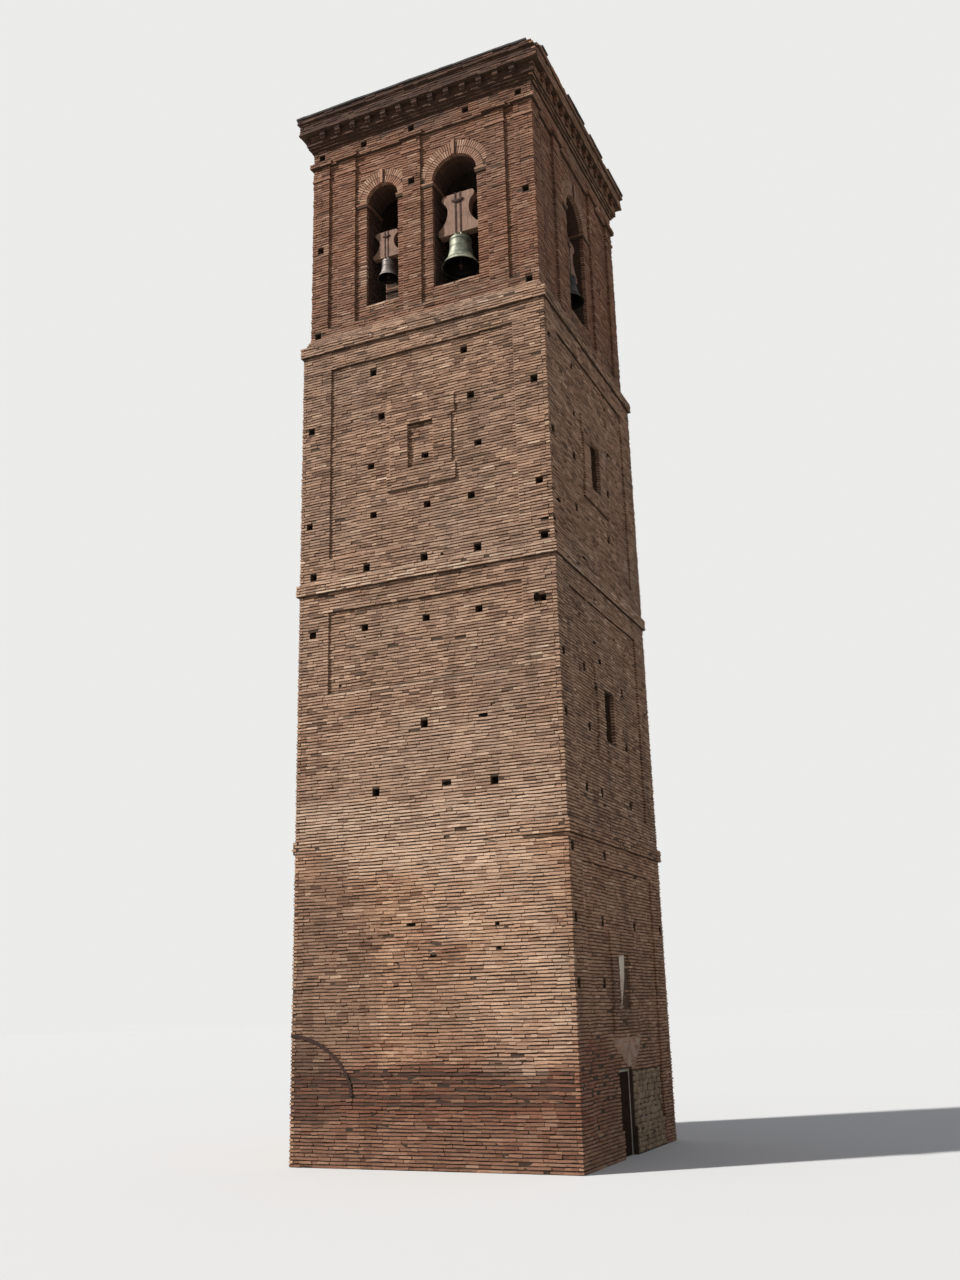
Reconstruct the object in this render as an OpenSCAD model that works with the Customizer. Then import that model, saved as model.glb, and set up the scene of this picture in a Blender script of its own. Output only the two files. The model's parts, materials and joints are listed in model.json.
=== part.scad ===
// Square brick bell tower with three bells, built in three shaft storeys and a belfry.
// Millimetres, +Z up, front face towards -Y, origin on the ground at the centre of the plan.

/* [Shaft] */
// Outside width of the square shaft.
tower_w = 6600; // [6500:10:6700]
// Thickness of the shaft walls.
wall_t = 1200; // [1150:10:1250]
// Height of the lower storey wall.
lower_h = 6570; // [6500:10:6640]
// Height of the middle storey wall.
middle_h = 5900; // [5830:10:5970]
// Height of the upper storey wall.
upper_h = 6220; // [6150:10:6290]
// Height of one brick course with its joint.
course_h = 72; // [70:0.5:74]
// How far a string course stands out of the shaft.
string_out = 65; // [50:5:80]
// Length of string course left standing on the front of the lower storey.
front_string_l = 1030; // [900:10:1100]

/* [Recessed fields] */
// Depth of the recessed field in a storey wall.
field_d = 50; // [40:5:60]
// Plain border beside a field.
field_side = 800; // [740:10:860]
// Plain border above a field.
field_top = 500; // [450:10:550]
// Plain border below a field.
field_foot = 570; // [500:10:640]
// Height of the shortened field on the front of the middle storey.
short_field_h = 1990; // [1900:10:2080]

/* [Windows] */
// Width of the slit windows.
window_w = 700; // [640:10:740]
// Height of the upper window above the foot of its storey.
upper_sill = 2440; // [2380:10:2500]
// Height of the upper window opening.
upper_window_h = 1340; // [1280:10:1400]
// Height of the middle window above the foot of its storey.
middle_sill = 2190; // [2130:10:2250]
// Height of the middle window opening.
middle_window_h = 1230; // [1170:10:1290]
// Height of the lower window above the ground.
lower_sill = 3060; // [3000:10:3120]
// Height of the lower window opening.
lower_window_h = 1140; // [1080:10:1200]
// Width of the raised surround beside a window.
panel_side = 560; // [500:10:600]
// Height of the raised surround below a window.
panel_foot = 430; // [380:10:460]
// Height of the raised surround above a window.
panel_head = 460; // [410:10:500]
// How far the sides of a surround step in beside the window.
panel_notch = 90; // [60:5:120]
// Depth of a blind window.
blind_d = 90; // [70:5:110]
// Depth of the masonry that blocks the lower window.
infill_t = 300; // [250:10:350]
// How far the blocking sits behind the surround.
infill_in = 40; // [30:5:50]

/* [Doorway] */
// Middle of the doorway along the right face.
door_y = -180; // [-220:10:-140]
// Width of the doorway.
door_w = 930; // [880:10:980]
// Height of the doorway.
door_h = 1780; // [1720:10:1840]
// Depth of the outer reveal in front of the door frame.
door_reveal = 70; // [50:5:90]
// Width of a door frame post.
frame_w = 60; // [55:1:70]
// Depth of the door frame.
frame_d = 90; // [85:1:110]
// Thickness of the door leaf.
leaf_t = 45; // [40:1:50]
// Clear gap round the door leaf.
leaf_gap = 6; // [5:0.5:8]
// Thickness of the hinge straps.
strap_t = 8; // [6:0.5:10]
// Height of the hinge straps.
strap_h = 45; // [40:1:50]
// Distance of a hinge strap from the end of the leaf.
strap_in = 260; // [240:5:280]
// Distance of a strap end from the free edge of the leaf.
strap_short = 60; // [50:2:70]
// Radius of the hinge pins.
pin_r = 7; // [6:0.5:8]
// How far a hinge pin reaches past its strap.
pin_past = 20; // [15:1:25]
// Outer radius of the strap eyes.
eye_r = 13; // [12:0.5:14]

/* [Putlog holes] */
// Side of a putlog hole.
hole_side = 170; // [150:5:190]
// Depth of a putlog hole.
hole_depth = 300; // [260:10:340]

/* [Belfry] */
// How far the belfry stands back from the shaft.
setback = 125; // [110:5:140]
// Thickness of the belfry walls.
belfry_t = 850; // [820:10:880]
// Height of the belfry walls up to the entablature.
belfry_h = 5270; // [5200:10:5340]
// Height of the plain foot below the bays.
belfry_foot = 250; // [220:10:280]
// Depth of the bays between pilasters.
bay_d = 70; // [60:5:80]
// Width of a corner pilaster.
corner_w = 470; // [440:10:500]
// Width of the narrow bay beside a corner pilaster.
strip_w = 300; // [270:10:330]
// Width of an inner pilaster.
pilaster_w = 500; // [470:10:530]
// Distance of a side pilaster from the middle of the side faces.
side_pilaster_in = 1150; // [1120:5:1180]
// Middle of the pilaster between the two front arches.
mid_pilaster_x = -225; // [-240:5:-210]
// How far a pilaster capital stands out.
capital_out = 30; // [20:5:40]
// Height of the capital course above the foot of the belfry.
capital_z = 4830; // [4780:10:4880]
// Thickness of the belfry floor.
floor_t = 200; // [160:10:240]

/* [Arches] */
// Offset of the small front arch from the middle of its bay.
small_arch_off = 70; // [60:5:80]
// Width of the small front arch.
small_arch_w = 940; // [900:10:980]
// Offset of the great front arch from the middle of its bay.
great_arch_off = 8; // [0:1:16]
// Width of the great front arch.
great_arch_w = 1270; // [1240:10:1300]
// Width of the arch in each side wall.
side_arch_w = 1360; // [1330:10:1390]
// Height of the arch sills above the foot of the belfry.
sill_z = 650; // [600:10:700]
// Height of the arch springing above the foot of the belfry.
spring_z = 3750; // [3700:10:3800]
// Height of the impost moulding.
impost_h = 130; // [110:5:150]
// How far the impost moulding stands out.
impost_out = 45; // [30:5:55]
// Depth of the ring of arch bricks.
ring_w = 400; // [370:10:430]
// How far the ring of arch bricks stands out of its bay.
ring_out = 15; // [10:1:20]
// Width of a keystone.
key_w = 100; // [80:5:120]

/* [Entablature and cornice] */
// Height of the entablature.
entablature_h = 550; // [520:10:580]
// Height of the moulding over a pilaster.
break_h = 140; // [120:5:160]
// How far the moulding over a pilaster breaks forward.
break_out = 80; // [60:5:100]
// Greatest projection of the cornice.
cornice_out = 340; // [330:5:360]
// Projection of the cornice frieze.
frieze_out = 150; // [140:5:160]
// Width of a cornice bracket.
bracket_w = 140; // [120:5:160]
// Projection of a cornice bracket in front of the frieze.
bracket_out = 120; // [100:5:130]
// Number of cornice brackets between the corners of one side.
bracket_n = 13; // [12:1:14]

/* [Roof] */
// Thickness of the slabs that cover the top of the cornice.
slab_t = 60; // [50:5:70]
// How far the slabs reach over the cornice edge.
slab_out = 40; // [30:5:50]
// Pitch of the hipped roof in degrees.
pitch = 22; // [20:0.5:25]
// Upright thickness of the roof deck.
deck_t = 160; // [130:10:190]
// How far the tiles start behind the cornice edge.
eave_in = 120; // [110:5:130]
// Thickness of the tile layer under the cover tiles.
tile_t = 60; // [50:5:70]
// Height of the cover tiles over that layer.
cover_h = 75; // [65:5:85]
// Gap from one row of cover tiles to the next.
cover_gap = 235; // [225:5:245]
// Radius of the hip tiles.
hip_r = 120; // [110:5:130]

/* [Bells] */
// Distance of the bells behind the belfry face.
bell_in = 370; // [350:10:390]
// Clear gap between a yoke and the jambs.
yoke_gap = 70; // [65:1:80]
// Rim diameter of the great bell.
great_rim_d = 1000; // [960:10:1020]
// Height of the great bell without its crown.
great_bell_h = 800; // [770:10:830]
// Height of the great yoke.
great_yoke_h = 1190; // [1150:10:1230]
// Height of the great bell's axle above the belfry foot.
great_axle_z = 2330; // [2310:10:2360]
// Rim diameter of the small bell.
small_rim_d = 550; // [520:10:580]
// Height of the small bell without its crown.
small_bell_h = 500; // [470:10:520]
// Height of the small yoke.
small_yoke_h = 780; // [750:10:810]
// Height of the small bell's axle above the belfry foot.
small_axle_z = 2210; // [2190:10:2240]
// Rim diameter of the side bell.
side_rim_d = 900; // [860:10:940]
// Height of the side bell without its crown.
side_bell_h = 720; // [690:10:750]
// Height of the side yoke.
side_yoke_h = 1100; // [1060:10:1140]
// Height of the side bell's axle above the belfry foot.
side_axle_z = 2290; // [2270:10:2320]
// Thickness of the bell bearings.
bearing_t = 45; // [40:1:50]
// Clear gap between an axle end and the jamb.
axle_gap = 5; // [4:0.5:6]

/* [Hidden] */
$fn = 64;
eps = 1;
run_gap = 0.1;
half_w = tower_w / 2;
string_h = 4 * course_h;
middle_z = lower_h + string_h;
middle_top = middle_z + middle_h;
short_field_z = middle_top - field_top - short_field_h;
upper_z = middle_top + string_h;
upper_top = upper_z + upper_h;
belfry_z = upper_top + 2 * string_h;
entablature_z = belfry_z + belfry_h;
cornice_z = entablature_z + entablature_h;
cornice_courses = 13;
roof_z = cornice_z + cornice_courses * course_h;
belfry_w = tower_w - 2 * setback;
half_b = belfry_w / 2;
room_w = tower_w - 2 * wall_t;
belfry_room_w = belfry_w - 2 * belfry_t;
floor_top = belfry_z + floor_t;
spring = belfry_z + spring_z;
eave_half = half_b + cornice_out;
roof_half = eave_half - eave_in;
frame_front = half_w - field_d - door_reveal;
leaf_w = door_w - 2 * frame_w - 2 * leaf_gap;
leaf_h = door_h - frame_w - 2 * leaf_gap;
pin_off = eye_r + leaf_gap;

// Rows of putlog holes: height as a part of the storey, then places as parts of the half width.
lower_rows = [[0.9619, [-0.9303, -0.297]], [0.7382, [-0.9303, -0.3697, 0.3333, 0.9303]],
    [0.5403, [-0.9303, -0.397]]];
middle_two_rows = [[0.8292, [-0.8848, -0.4636, 0.0242, 0.4273, 0.9]], [0.4054, [0.0061]],
    [0.1614, [-0.3667, 0.5121]]];
middle_one_rows = [[0.6258, [-0.9242, -0.4727, 0.3788]], [0.3936, [-0.9303, -0.4242, 0.4091]],
    [0.1512, [-0.5455, -0.2273, 0.4333]]];
upper_two_rows = [[0.8624, [-0.3939, 0.3606]], [0.6614, [-0.9242, -0.3273, 0.4061, 0.9061]],
    [0.454, [-0.4152, 0.0273, 0.4545]], [0.2434, [-0.9273, -0.3939, 0.0439, 0.3909, 0.9121]],
    [0.0288, [-0.8879, -0.4424, 0.0212, 0.4364, 0.9333]]];
upper_one_rows = [[0.8608, [-0.9242, -0.4091, 0.3636]], [0.6518, [-0.4091, 0.3879]],
    [0.4588, [-0.9242, -0.4455, 0.3333]], [0.2386, [-0.4576, 0.2727]]];
belfry_two_rows = [[0.7491, [mid_pilaster_x / half_b]], [0.5044, [-0.9244, 0.9244]],
    [0.0171, [-0.9386, 0.9228]]];
belfry_one_rows = [[0.5044, [0.5984]]];
entablature_rows = [[0.5818, [-0.9228, -0.5165, -0.0693, 0.4283, 0.8945]]];

// Each bell: rim diameter, bell height, yoke width, yoke height, axle height.
great_set = [great_rim_d, great_bell_h, great_arch_w - 2 * yoke_gap, great_yoke_h, great_axle_z];
small_set = [small_rim_d, small_bell_h, small_arch_w - 2 * yoke_gap, small_yoke_h, small_axle_z];
side_set = [side_rim_d, side_bell_h, side_arch_w - 2 * yoke_gap, side_yoke_h, side_axle_z];

brick = [0.60, 0.44, 0.34];
belfry_brick = [0.55, 0.39, 0.30];
plaster = [0.72, 0.64, 0.55];
timber = [0.50, 0.42, 0.35];
dark_wood = [0.16, 0.12, 0.10];
yoke_wood = [0.66, 0.50, 0.42];
iron = [0.22, 0.21, 0.20];
bronze = [0.44, 0.52, 0.44];
tile = [0.58, 0.38, 0.28];

// Box given by its two opposite corners.
module span_box(a, b) {
    translate(a)
        cube(b - a);
}

// Places children of the front face on another face: 0 front, 1 right, 2 back, 3 left.
module on_side(side) {
    rotate([0, 0, 90 * side])
        children();
}

// Blank of one storey wall; front and back walls run to the corners.
module wall_blank(side, z, h, w, t) {
    l = side % 2 == 0 ? w : w - 2 * t;
    on_side(side)
        span_box([-l / 2, -w / 2, z], [l / 2, -w / 2 + t, z + h]);
}

// Square ring between two widths.
module square_ring(z, h, outer, inner) {
    difference() {
        span_box([-outer / 2, -outer / 2, z], [outer / 2, outer / 2, z + h]);
        span_box([-inner / 2, -inner / 2, z - eps], [inner / 2, inner / 2, z + h + eps]);
    }
}

// Raised window surround with its stepped sides, in the plane of the front face.
module surround(z, sill, win_h) {
    out = window_w / 2 + panel_side;
    notch_z = z + sill;
    span_box([-out, -half_w, z + sill - panel_foot], [out, -half_w + field_d + eps, notch_z]);
    span_box([-out + panel_notch, -half_w, notch_z - eps],
        [out - panel_notch, -half_w + field_d + eps, notch_z + win_h + eps]);
    span_box([-out, -half_w, notch_z + win_h],
        [out, -half_w + field_d + eps, notch_z + win_h + panel_head]);
}

// Recessed field of one face, with or without a surround.
module field_cut(z, h, foot, sill, win_h) {
    x = half_w - field_side;
    difference() {
        span_box([-x, -half_w - eps, z + foot], [x, -half_w + field_d, z + h - field_top]);
        if (win_h > 0)
            surround(z, sill, win_h);
    }
}

// Opening of a slit window, right through or blind.
module window_cut(z, sill, win_h, depth) {
    span_box([-window_w / 2, -half_w - eps, z + sill],
        [window_w / 2, -half_w + depth, z + sill + win_h]);
}

// One putlog hole at x and z in a face that lies at depth y.
module hole(x, z, y) {
    span_box([x - hole_side / 2, y - eps, z - hole_side / 2],
        [x + hole_side / 2, y + hole_depth, z + hole_side / 2]);
}

// Rows of putlog holes in a storey from z to z + h and of half width w, whose face is set
// back by sink.
module hole_rows(rows, z, h, w, sink = 0) {
    for (row = rows)
        for (part = row[1])
            hole(part * w, z + row[0] * h, sink - w);
}

// Cuts in the lower storey.
module lower_cuts() {
    for (side = [1, 2, 3])
        on_side(side)
            field_cut(0, lower_h, field_foot, lower_sill, lower_window_h);
    on_side(1)
        window_cut(0, lower_sill, lower_window_h, wall_t + eps);
    for (side = [2, 3])
        on_side(side)
            window_cut(0, lower_sill, lower_window_h, blind_d);
    for (side = [1, 3])
        on_side(side)
            hole_rows(lower_rows, 0, lower_h, half_w);
}

// Cuts in the middle storey.
module middle_cuts() {
    z = middle_z;
    field_cut(z, middle_h, short_field_z - z, 0, 0);
    for (side = [1, 2, 3])
        on_side(side)
            field_cut(z, middle_h, field_foot, middle_sill, middle_window_h);
    for (side = [1, 3])
        on_side(side)
            window_cut(z, middle_sill, middle_window_h, wall_t + eps);
    on_side(2)
        window_cut(z, middle_sill, middle_window_h, blind_d);
    for (side = [0, 2])
        on_side(side)
            hole_rows(middle_two_rows, z, middle_h, half_w);
    for (side = [1, 3])
        on_side(side)
            hole_rows(middle_one_rows, z, middle_h, half_w);
}

// Cuts in the upper storey.
module upper_cuts() {
    z = upper_z;
    for (side = [0, 1, 2, 3])
        on_side(side)
            field_cut(z, upper_h, field_foot, upper_sill, upper_window_h);
    for (side = [1, 3])
        on_side(side)
            window_cut(z, upper_sill, upper_window_h, wall_t + eps);
    for (side = [0, 2])
        on_side(side)
            window_cut(z, upper_sill + panel_notch, upper_window_h - 2 * panel_notch, blind_d);
    for (side = [0, 2])
        on_side(side)
            hole_rows(upper_two_rows, z, upper_h, half_w);
    for (side = [1, 3])
        on_side(side)
            hole_rows(upper_one_rows, z, upper_h, half_w);
}

// Plan recesses of one belfry face between the given pilaster edges.
module bay_cut(x0, x1) {
    span_box([x0, -half_b - eps, belfry_z + belfry_foot],
        [x1, -half_b + bay_d, entablature_z + eps]);
}

// Opening of one arch through the wall.
module arch_cut(x, w) {
    translate([x, -half_b - eps, spring])
        rotate([-90, 0, 0])
            linear_extrude(belfry_t + 2 * eps) {
                circle(d = w);
                translate([-w / 2, 0])
                    square([w, spring_z - sill_z]);
            }
}

// Ring of arch bricks, keystone and imposts of one arch.
module arch_trim(x, w, left, right) {
    difference() {
        translate([x, -half_b + bay_d - ring_out, spring])
            rotate([-90, 0, 0])
                difference() {
                    cylinder(r = w / 2 + ring_w, h = ring_out + eps);
                    translate([0, 0, -eps])
                        cylinder(r = w / 2, h = ring_out + 3 * eps);
                    translate([-w, 0, -eps])
                        cube([2 * w, w, ring_out + 3 * eps]);
                }
        translate([0, 0, spring - eps])
            span_box([left - w, -half_b - eps, 0], [left, -half_b + bay_d + 2 * eps, 2 * w]);
        translate([0, 0, spring - eps])
            span_box([right, -half_b - eps, 0], [right + w, -half_b + bay_d + 2 * eps, 2 * w]);
    }
    span_box([x - key_w / 2, -half_b + bay_d - 4 * ring_out, spring + w / 2],
        [x + key_w / 2, -half_b + bay_d + eps, spring + w / 2 + ring_w]);
    y = -half_b + bay_d - impost_out;
    z = spring - impost_h;
    span_box([left, y, z], [x - w / 2 + impost_out, -half_b + belfry_t, spring]);
    span_box([x + w / 2 - impost_out, y, z], [right, -half_b + belfry_t, spring]);
}

// Capital course of one pilaster.
module capital(x0, x1) {
    span_box([x0 - capital_out, -half_b - capital_out, belfry_z + capital_z],
        [x1 + capital_out, -half_b + bay_d + eps, belfry_z + capital_z + course_h]);
}

strip_in = half_b - corner_w;
inner_out = strip_in - strip_w;
inner_in = inner_out - pilaster_w;
mid_left = mid_pilaster_x - pilaster_w / 2;
mid_right = mid_pilaster_x + pilaster_w / 2;
side_out = side_pilaster_in + pilaster_w;
small_arch_x = (mid_left - inner_in) / 2 + small_arch_off;
great_arch_x = (mid_right + inner_in) / 2 + great_arch_off;

// Bays and arches of a face with two arches.
module front_bays() {
    bay_cut(-strip_in, -inner_out);
    bay_cut(-inner_in, mid_left);
    bay_cut(mid_right, inner_in);
    bay_cut(inner_out, strip_in);
}

// Bays of a face with one arch.
module side_bays() {
    bay_cut(-strip_in, -side_out);
    bay_cut(-side_pilaster_in, side_pilaster_in);
    bay_cut(side_out, strip_in);
}

// All recesses and openings of the belfry.
module belfry_cuts() {
    for (side = [0, 2])
        on_side(side) {
            front_bays();
            arch_cut(small_arch_x, small_arch_w);
            arch_cut(great_arch_x, great_arch_w);
            hole_rows(belfry_two_rows, belfry_z, belfry_h, half_b);
        }
    for (side = [1, 3])
        on_side(side) {
            side_bays();
            arch_cut(0, side_arch_w);
            hole_rows(belfry_one_rows, belfry_z, belfry_h, half_b, bay_d);
        }
}

// Trim that stands on a face with two arches.
module front_trim() {
    arch_trim(small_arch_x, small_arch_w, -inner_in, mid_left);
    arch_trim(great_arch_x, great_arch_w, mid_right, inner_in);
    capital(-inner_out, -inner_in);
    capital(mid_left, mid_right);
    capital(inner_in, inner_out);
    for (s = [-1, 1])
        corner_capital(s);
}

// Capital course that wraps a corner pilaster.
module corner_capital(s) {
    a = half_b + capital_out;
    b = strip_in - capital_out;
    z = belfry_z + capital_z;
    scale([s, 1, 1])
        difference() {
            span_box([b, -a, z], [a, -b, z + course_h]);
            span_box([b - eps, -half_b + bay_d, z - eps],
                [half_b - bay_d, -b + eps, z + course_h + eps]);
        }
}

// Trim that stands on a face with one arch.
module side_trim() {
    arch_trim(0, side_arch_w, -side_pilaster_in, side_pilaster_in);
    capital(-side_out, -side_pilaster_in);
    capital(side_pilaster_in, side_out);
}

// One belfry wall.
module belfry_wall(side) {
    difference() {
        wall_blank(side, belfry_z, belfry_h, belfry_w, belfry_t);
        belfry_cuts();
    }
    on_side(side)
        if (side % 2 == 0)
            front_trim();
        else
            side_trim();
}

module lower_front_wall() {
    color(brick)
        difference() {
            wall_blank(0, 0, lower_h, tower_w, wall_t);
            lower_cuts();
        }
}

module lower_left_wall() {
    color(brick)
        difference() {
            wall_blank(3, 0, lower_h, tower_w, wall_t);
            lower_cuts();
        }
}

module lower_back_wall() {
    color(brick)
        difference() {
            wall_blank(2, 0, lower_h, tower_w, wall_t);
            lower_cuts();
        }
}

// Right lower wall kept between two positions along the face and two heights.
module lower_right_part(y0, y1, z0, z1) {
    color(brick)
        difference() {
            span_box([half_w - wall_t, y0, z0], [half_w, y1, z1]);
            lower_cuts();
        }
}

module lower_right_wall_near() {
    lower_right_part(-room_w / 2, door_y - door_w / 2, 0, door_h);
}

module lower_right_wall_far() {
    lower_right_part(door_y + door_w / 2, room_w / 2, 0, door_h);
}

module lower_right_wall_over_door() {
    lower_right_part(-room_w / 2, room_w / 2, door_h, lower_h);
}

module lower_window_infill() {
    color(plaster)
        span_box([half_w - infill_in - infill_t, -window_w / 2, lower_sill],
            [half_w - infill_in, window_w / 2, lower_sill + lower_window_h]);
}

// String course that runs round the shaft.
module string_ring(z) {
    square_ring(z, string_h, tower_w + 2 * string_out, room_w);
}

module lower_string_course() {
    color(brick)
        difference() {
            string_ring(lower_h);
            span_box([-half_w - 2 * string_out, -half_w - 2 * string_out, lower_h - eps],
                [half_w - front_string_l, -half_w, middle_z + eps]);
        }
}

// Plain wall below the short recessed field.
module middle_front_wall_foot() {
    color(brick)
        difference() {
            wall_blank(0, middle_z, short_field_z - middle_z, tower_w, wall_t);
            middle_cuts();
        }
}

module middle_front_wall_field() {
    color(brick)
        difference() {
            wall_blank(0, short_field_z, middle_top - short_field_z, tower_w, wall_t);
            middle_cuts();
        }
}

module middle_left_wall() {
    color(brick)
        difference() {
            wall_blank(3, middle_z, middle_h, tower_w, wall_t);
            middle_cuts();
        }
}

module middle_back_wall() {
    color(brick)
        difference() {
            wall_blank(2, middle_z, middle_h, tower_w, wall_t);
            middle_cuts();
        }
}

module middle_right_wall() {
    color(brick)
        difference() {
            wall_blank(1, middle_z, middle_h, tower_w, wall_t);
            middle_cuts();
        }
}

module middle_string_course() {
    color(brick)
        string_ring(middle_top);
}

module upper_front_wall() {
    color(brick)
        difference() {
            wall_blank(0, upper_z, upper_h, tower_w, wall_t);
            upper_cuts();
        }
}

module upper_left_wall() {
    color(brick)
        difference() {
            wall_blank(3, upper_z, upper_h, tower_w, wall_t);
            upper_cuts();
        }
}

module upper_back_wall() {
    color(brick)
        difference() {
            wall_blank(2, upper_z, upper_h, tower_w, wall_t);
            upper_cuts();
        }
}

module upper_right_wall() {
    color(brick)
        difference() {
            wall_blank(1, upper_z, upper_h, tower_w, wall_t);
            upper_cuts();
        }
}

// Belt under the belfry with a weathered slope on top.
module belfry_ledge() {
    color(brick)
        difference() {
            union() {
                string_ring(upper_top);
                translate([0, 0, upper_top + string_h])
                    linear_extrude(height = string_h, scale = belfry_w / tower_w)
                        square(tower_w, center = true);
            }
            span_box([-room_w / 2, -room_w / 2, upper_top - eps],
                [room_w / 2, room_w / 2, belfry_z + eps]);
        }
}

module belfry_floor() {
    color(timber)
        span_box([-belfry_room_w / 2, -belfry_room_w / 2, belfry_z],
            [belfry_room_w / 2, belfry_room_w / 2, floor_top]);
}

module belfry_front_wall() {
    color(belfry_brick)
        belfry_wall(0);
}

module belfry_left_wall() {
    color(belfry_brick)
        belfry_wall(3);
}

module belfry_back_wall() {
    color(belfry_brick)
        belfry_wall(2);
}

module belfry_right_wall() {
    color(belfry_brick)
        belfry_wall(1);
}

// Moulding that breaks forward over one pilaster.
module forward_break(x0, x1) {
    span_box([x0 - break_out, -half_b - break_out, entablature_z],
        [x1 + break_out, -half_b + eps, entablature_z + break_h]);
}

// Mouldings over the pilasters and corners of the entablature.
module entablature_breaks() {
    a = half_b + break_out;
    b = strip_in - break_out;
    for (side = [0, 2])
        on_side(side) {
            forward_break(-inner_out, -inner_in);
            forward_break(mid_left, mid_right);
            forward_break(inner_in, inner_out);
        }
    for (side = [1, 3])
        on_side(side) {
            forward_break(-side_out, -side_pilaster_in);
            forward_break(side_pilaster_in, side_out);
        }
    for (side = [0:3])
        on_side(side)
            difference() {
                span_box([-a, -a, entablature_z], [-b, -b, entablature_z + break_h]);
                span_box([-half_b + eps, -half_b + eps, entablature_z - eps],
                    [0, 0, entablature_z + break_h + eps]);
            }
}

module entablature() {
    color(belfry_brick)
        difference() {
            union() {
                square_ring(entablature_z, entablature_h, belfry_w, belfry_room_w);
                entablature_breaks();
            }
            for (side = [0, 2])
                on_side(side)
                    hole_rows(entablature_rows, entablature_z, entablature_h, half_b);
        }
}

// Cornice layers from the wall up: number of courses and projection.
layers = [[1, 0.4 * frieze_out], [1, 0.7 * frieze_out], [1, frieze_out], [3, frieze_out],
    [1, 0.91 * cornice_out], [4, 0.853 * cornice_out], [2, cornice_out]];

// Number of courses below layer i.
function courses_below(i) = i == 0 ? 0 : layers[i - 1][0] + courses_below(i - 1);

// One rounded cornice bracket, its back at the frieze.
module bracket() {
    h = 3 * course_h;
    r = bracket_out / 2;
    translate([-bracket_w / 2, 0, 0])
        rotate([90, 0, 90])
            linear_extrude(bracket_w) {
                translate([-bracket_out, h / 2])
                    square([bracket_out + eps, h / 2]);
                translate([-r, h / 2])
                    circle(r = r);
                translate([-r, 0])
                    square([r + eps, h / 2 + eps]);
            }
}

module cornice() {
    pitch_x = (belfry_w + 2 * frieze_out - bracket_w) / (bracket_n + 1);
    color(belfry_brick)
        difference() {
            union() {
                for (i = [0:len(layers) - 1])
                    square_ring(cornice_z + courses_below(i) * course_h,
                        layers[i][0] * course_h, belfry_w + 2 * layers[i][1], belfry_room_w);
                for (side = [0:3])
                    on_side(side)
                        for (k = [1:bracket_n])
                            translate([(k - (bracket_n + 1) / 2) * pitch_x,
                                -half_b - frieze_out, cornice_z + 3 * course_h])
                                bracket();
            }
            broken_corner();
        }
}

// Places where bricks are missing from the top of the cornice at its broken corner: both ends
// as parts of the half width, depth as a part of the projection, number of courses.
bites = [[-1, -0.9175, 0.47, 1], [-1, -0.9573, 0.265, 2]];

module broken_corner() {
    for (b = bites)
        span_box([eave_half - b[2] * cornice_out, b[0] * eave_half - eps, roof_z - b[3] * course_h],
            [eave_half + eps, b[1] * eave_half, roof_z + eps]);
}

// Places where the cover slabs are broken off or pushed back along the right side: both ends as
// parts of the half width, depth as a part of the projection.
gaps = [[-0.935, -0.89, 0.3], [-0.785, -0.715, 0.34], [-0.715, -0.345, 0.22],
    [0.02, 0.155, 0.28], [0.46, 0.62, 0.25]];

// Slabs on top of the cornice, broken along the right side and off at the front right corner.
module cover_slabs() {
    edge = eave_half + slab_out;
    difference() {
        square_ring(roof_z, slab_t, 2 * edge, 2 * roof_half);
        for (g = gaps)
            span_box([edge - g[2] * cornice_out, g[0] * eave_half, roof_z - eps],
                [edge + eps, g[1] * eave_half, roof_z + slab_t + eps]);
        span_box([eave_half - 0.78 * cornice_out, -edge - eps, roof_z - eps],
            [edge + eps, -0.935 * eave_half, roof_z + slab_t + eps]);
    }
}

// Square pyramid with the roof pitch, where two crossed gables meet.
module pyramid(half) {
    intersection_for (turn = [0, 90])
        rotate([90, 0, turn])
            linear_extrude(4 * half, center = true)
                polygon([[-half, 0], [half, 0], [0, half * tan(pitch)]]);
}

module roof_deck() {
    color(timber)
        translate([0, 0, roof_z])
            difference() {
                pyramid(roof_half);
                translate([0, 0, -eps])
                    pyramid(roof_half - (deck_t - eps) / tan(pitch));
            }
}

// Rounded back of one cover tile across the slope, from its foot at one side to the other.
function cover_profile(x) = [for (turn = [180:-45:0])
    [x + 0.4 * cover_gap * cos(turn), tile_t + cover_h * sin(turn)]];

// Tiles of the front slope: one layer with rows of cover tiles standing over it.
module tile_slope() {
    n = floor(roof_half / cover_gap);
    rows = [for (k = [-n:n]) each cover_profile(k * cover_gap)];
    intersection() {
        translate([0, 0, roof_half * tan(pitch)])
            rotate([90 + pitch, 0, 0])
                linear_extrude(roof_half / cos(pitch))
                    polygon([[-eave_half, -tile_t], [-eave_half, tile_t], each rows,
                        [eave_half, tile_t], [eave_half, -tile_t]]);
        translate([0, -hip_r / 6, 0])
            linear_extrude(roof_half)
                polygon([[0, 0], [-eave_half, -eave_half], [eave_half, -eave_half]]);
    }
}

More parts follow.
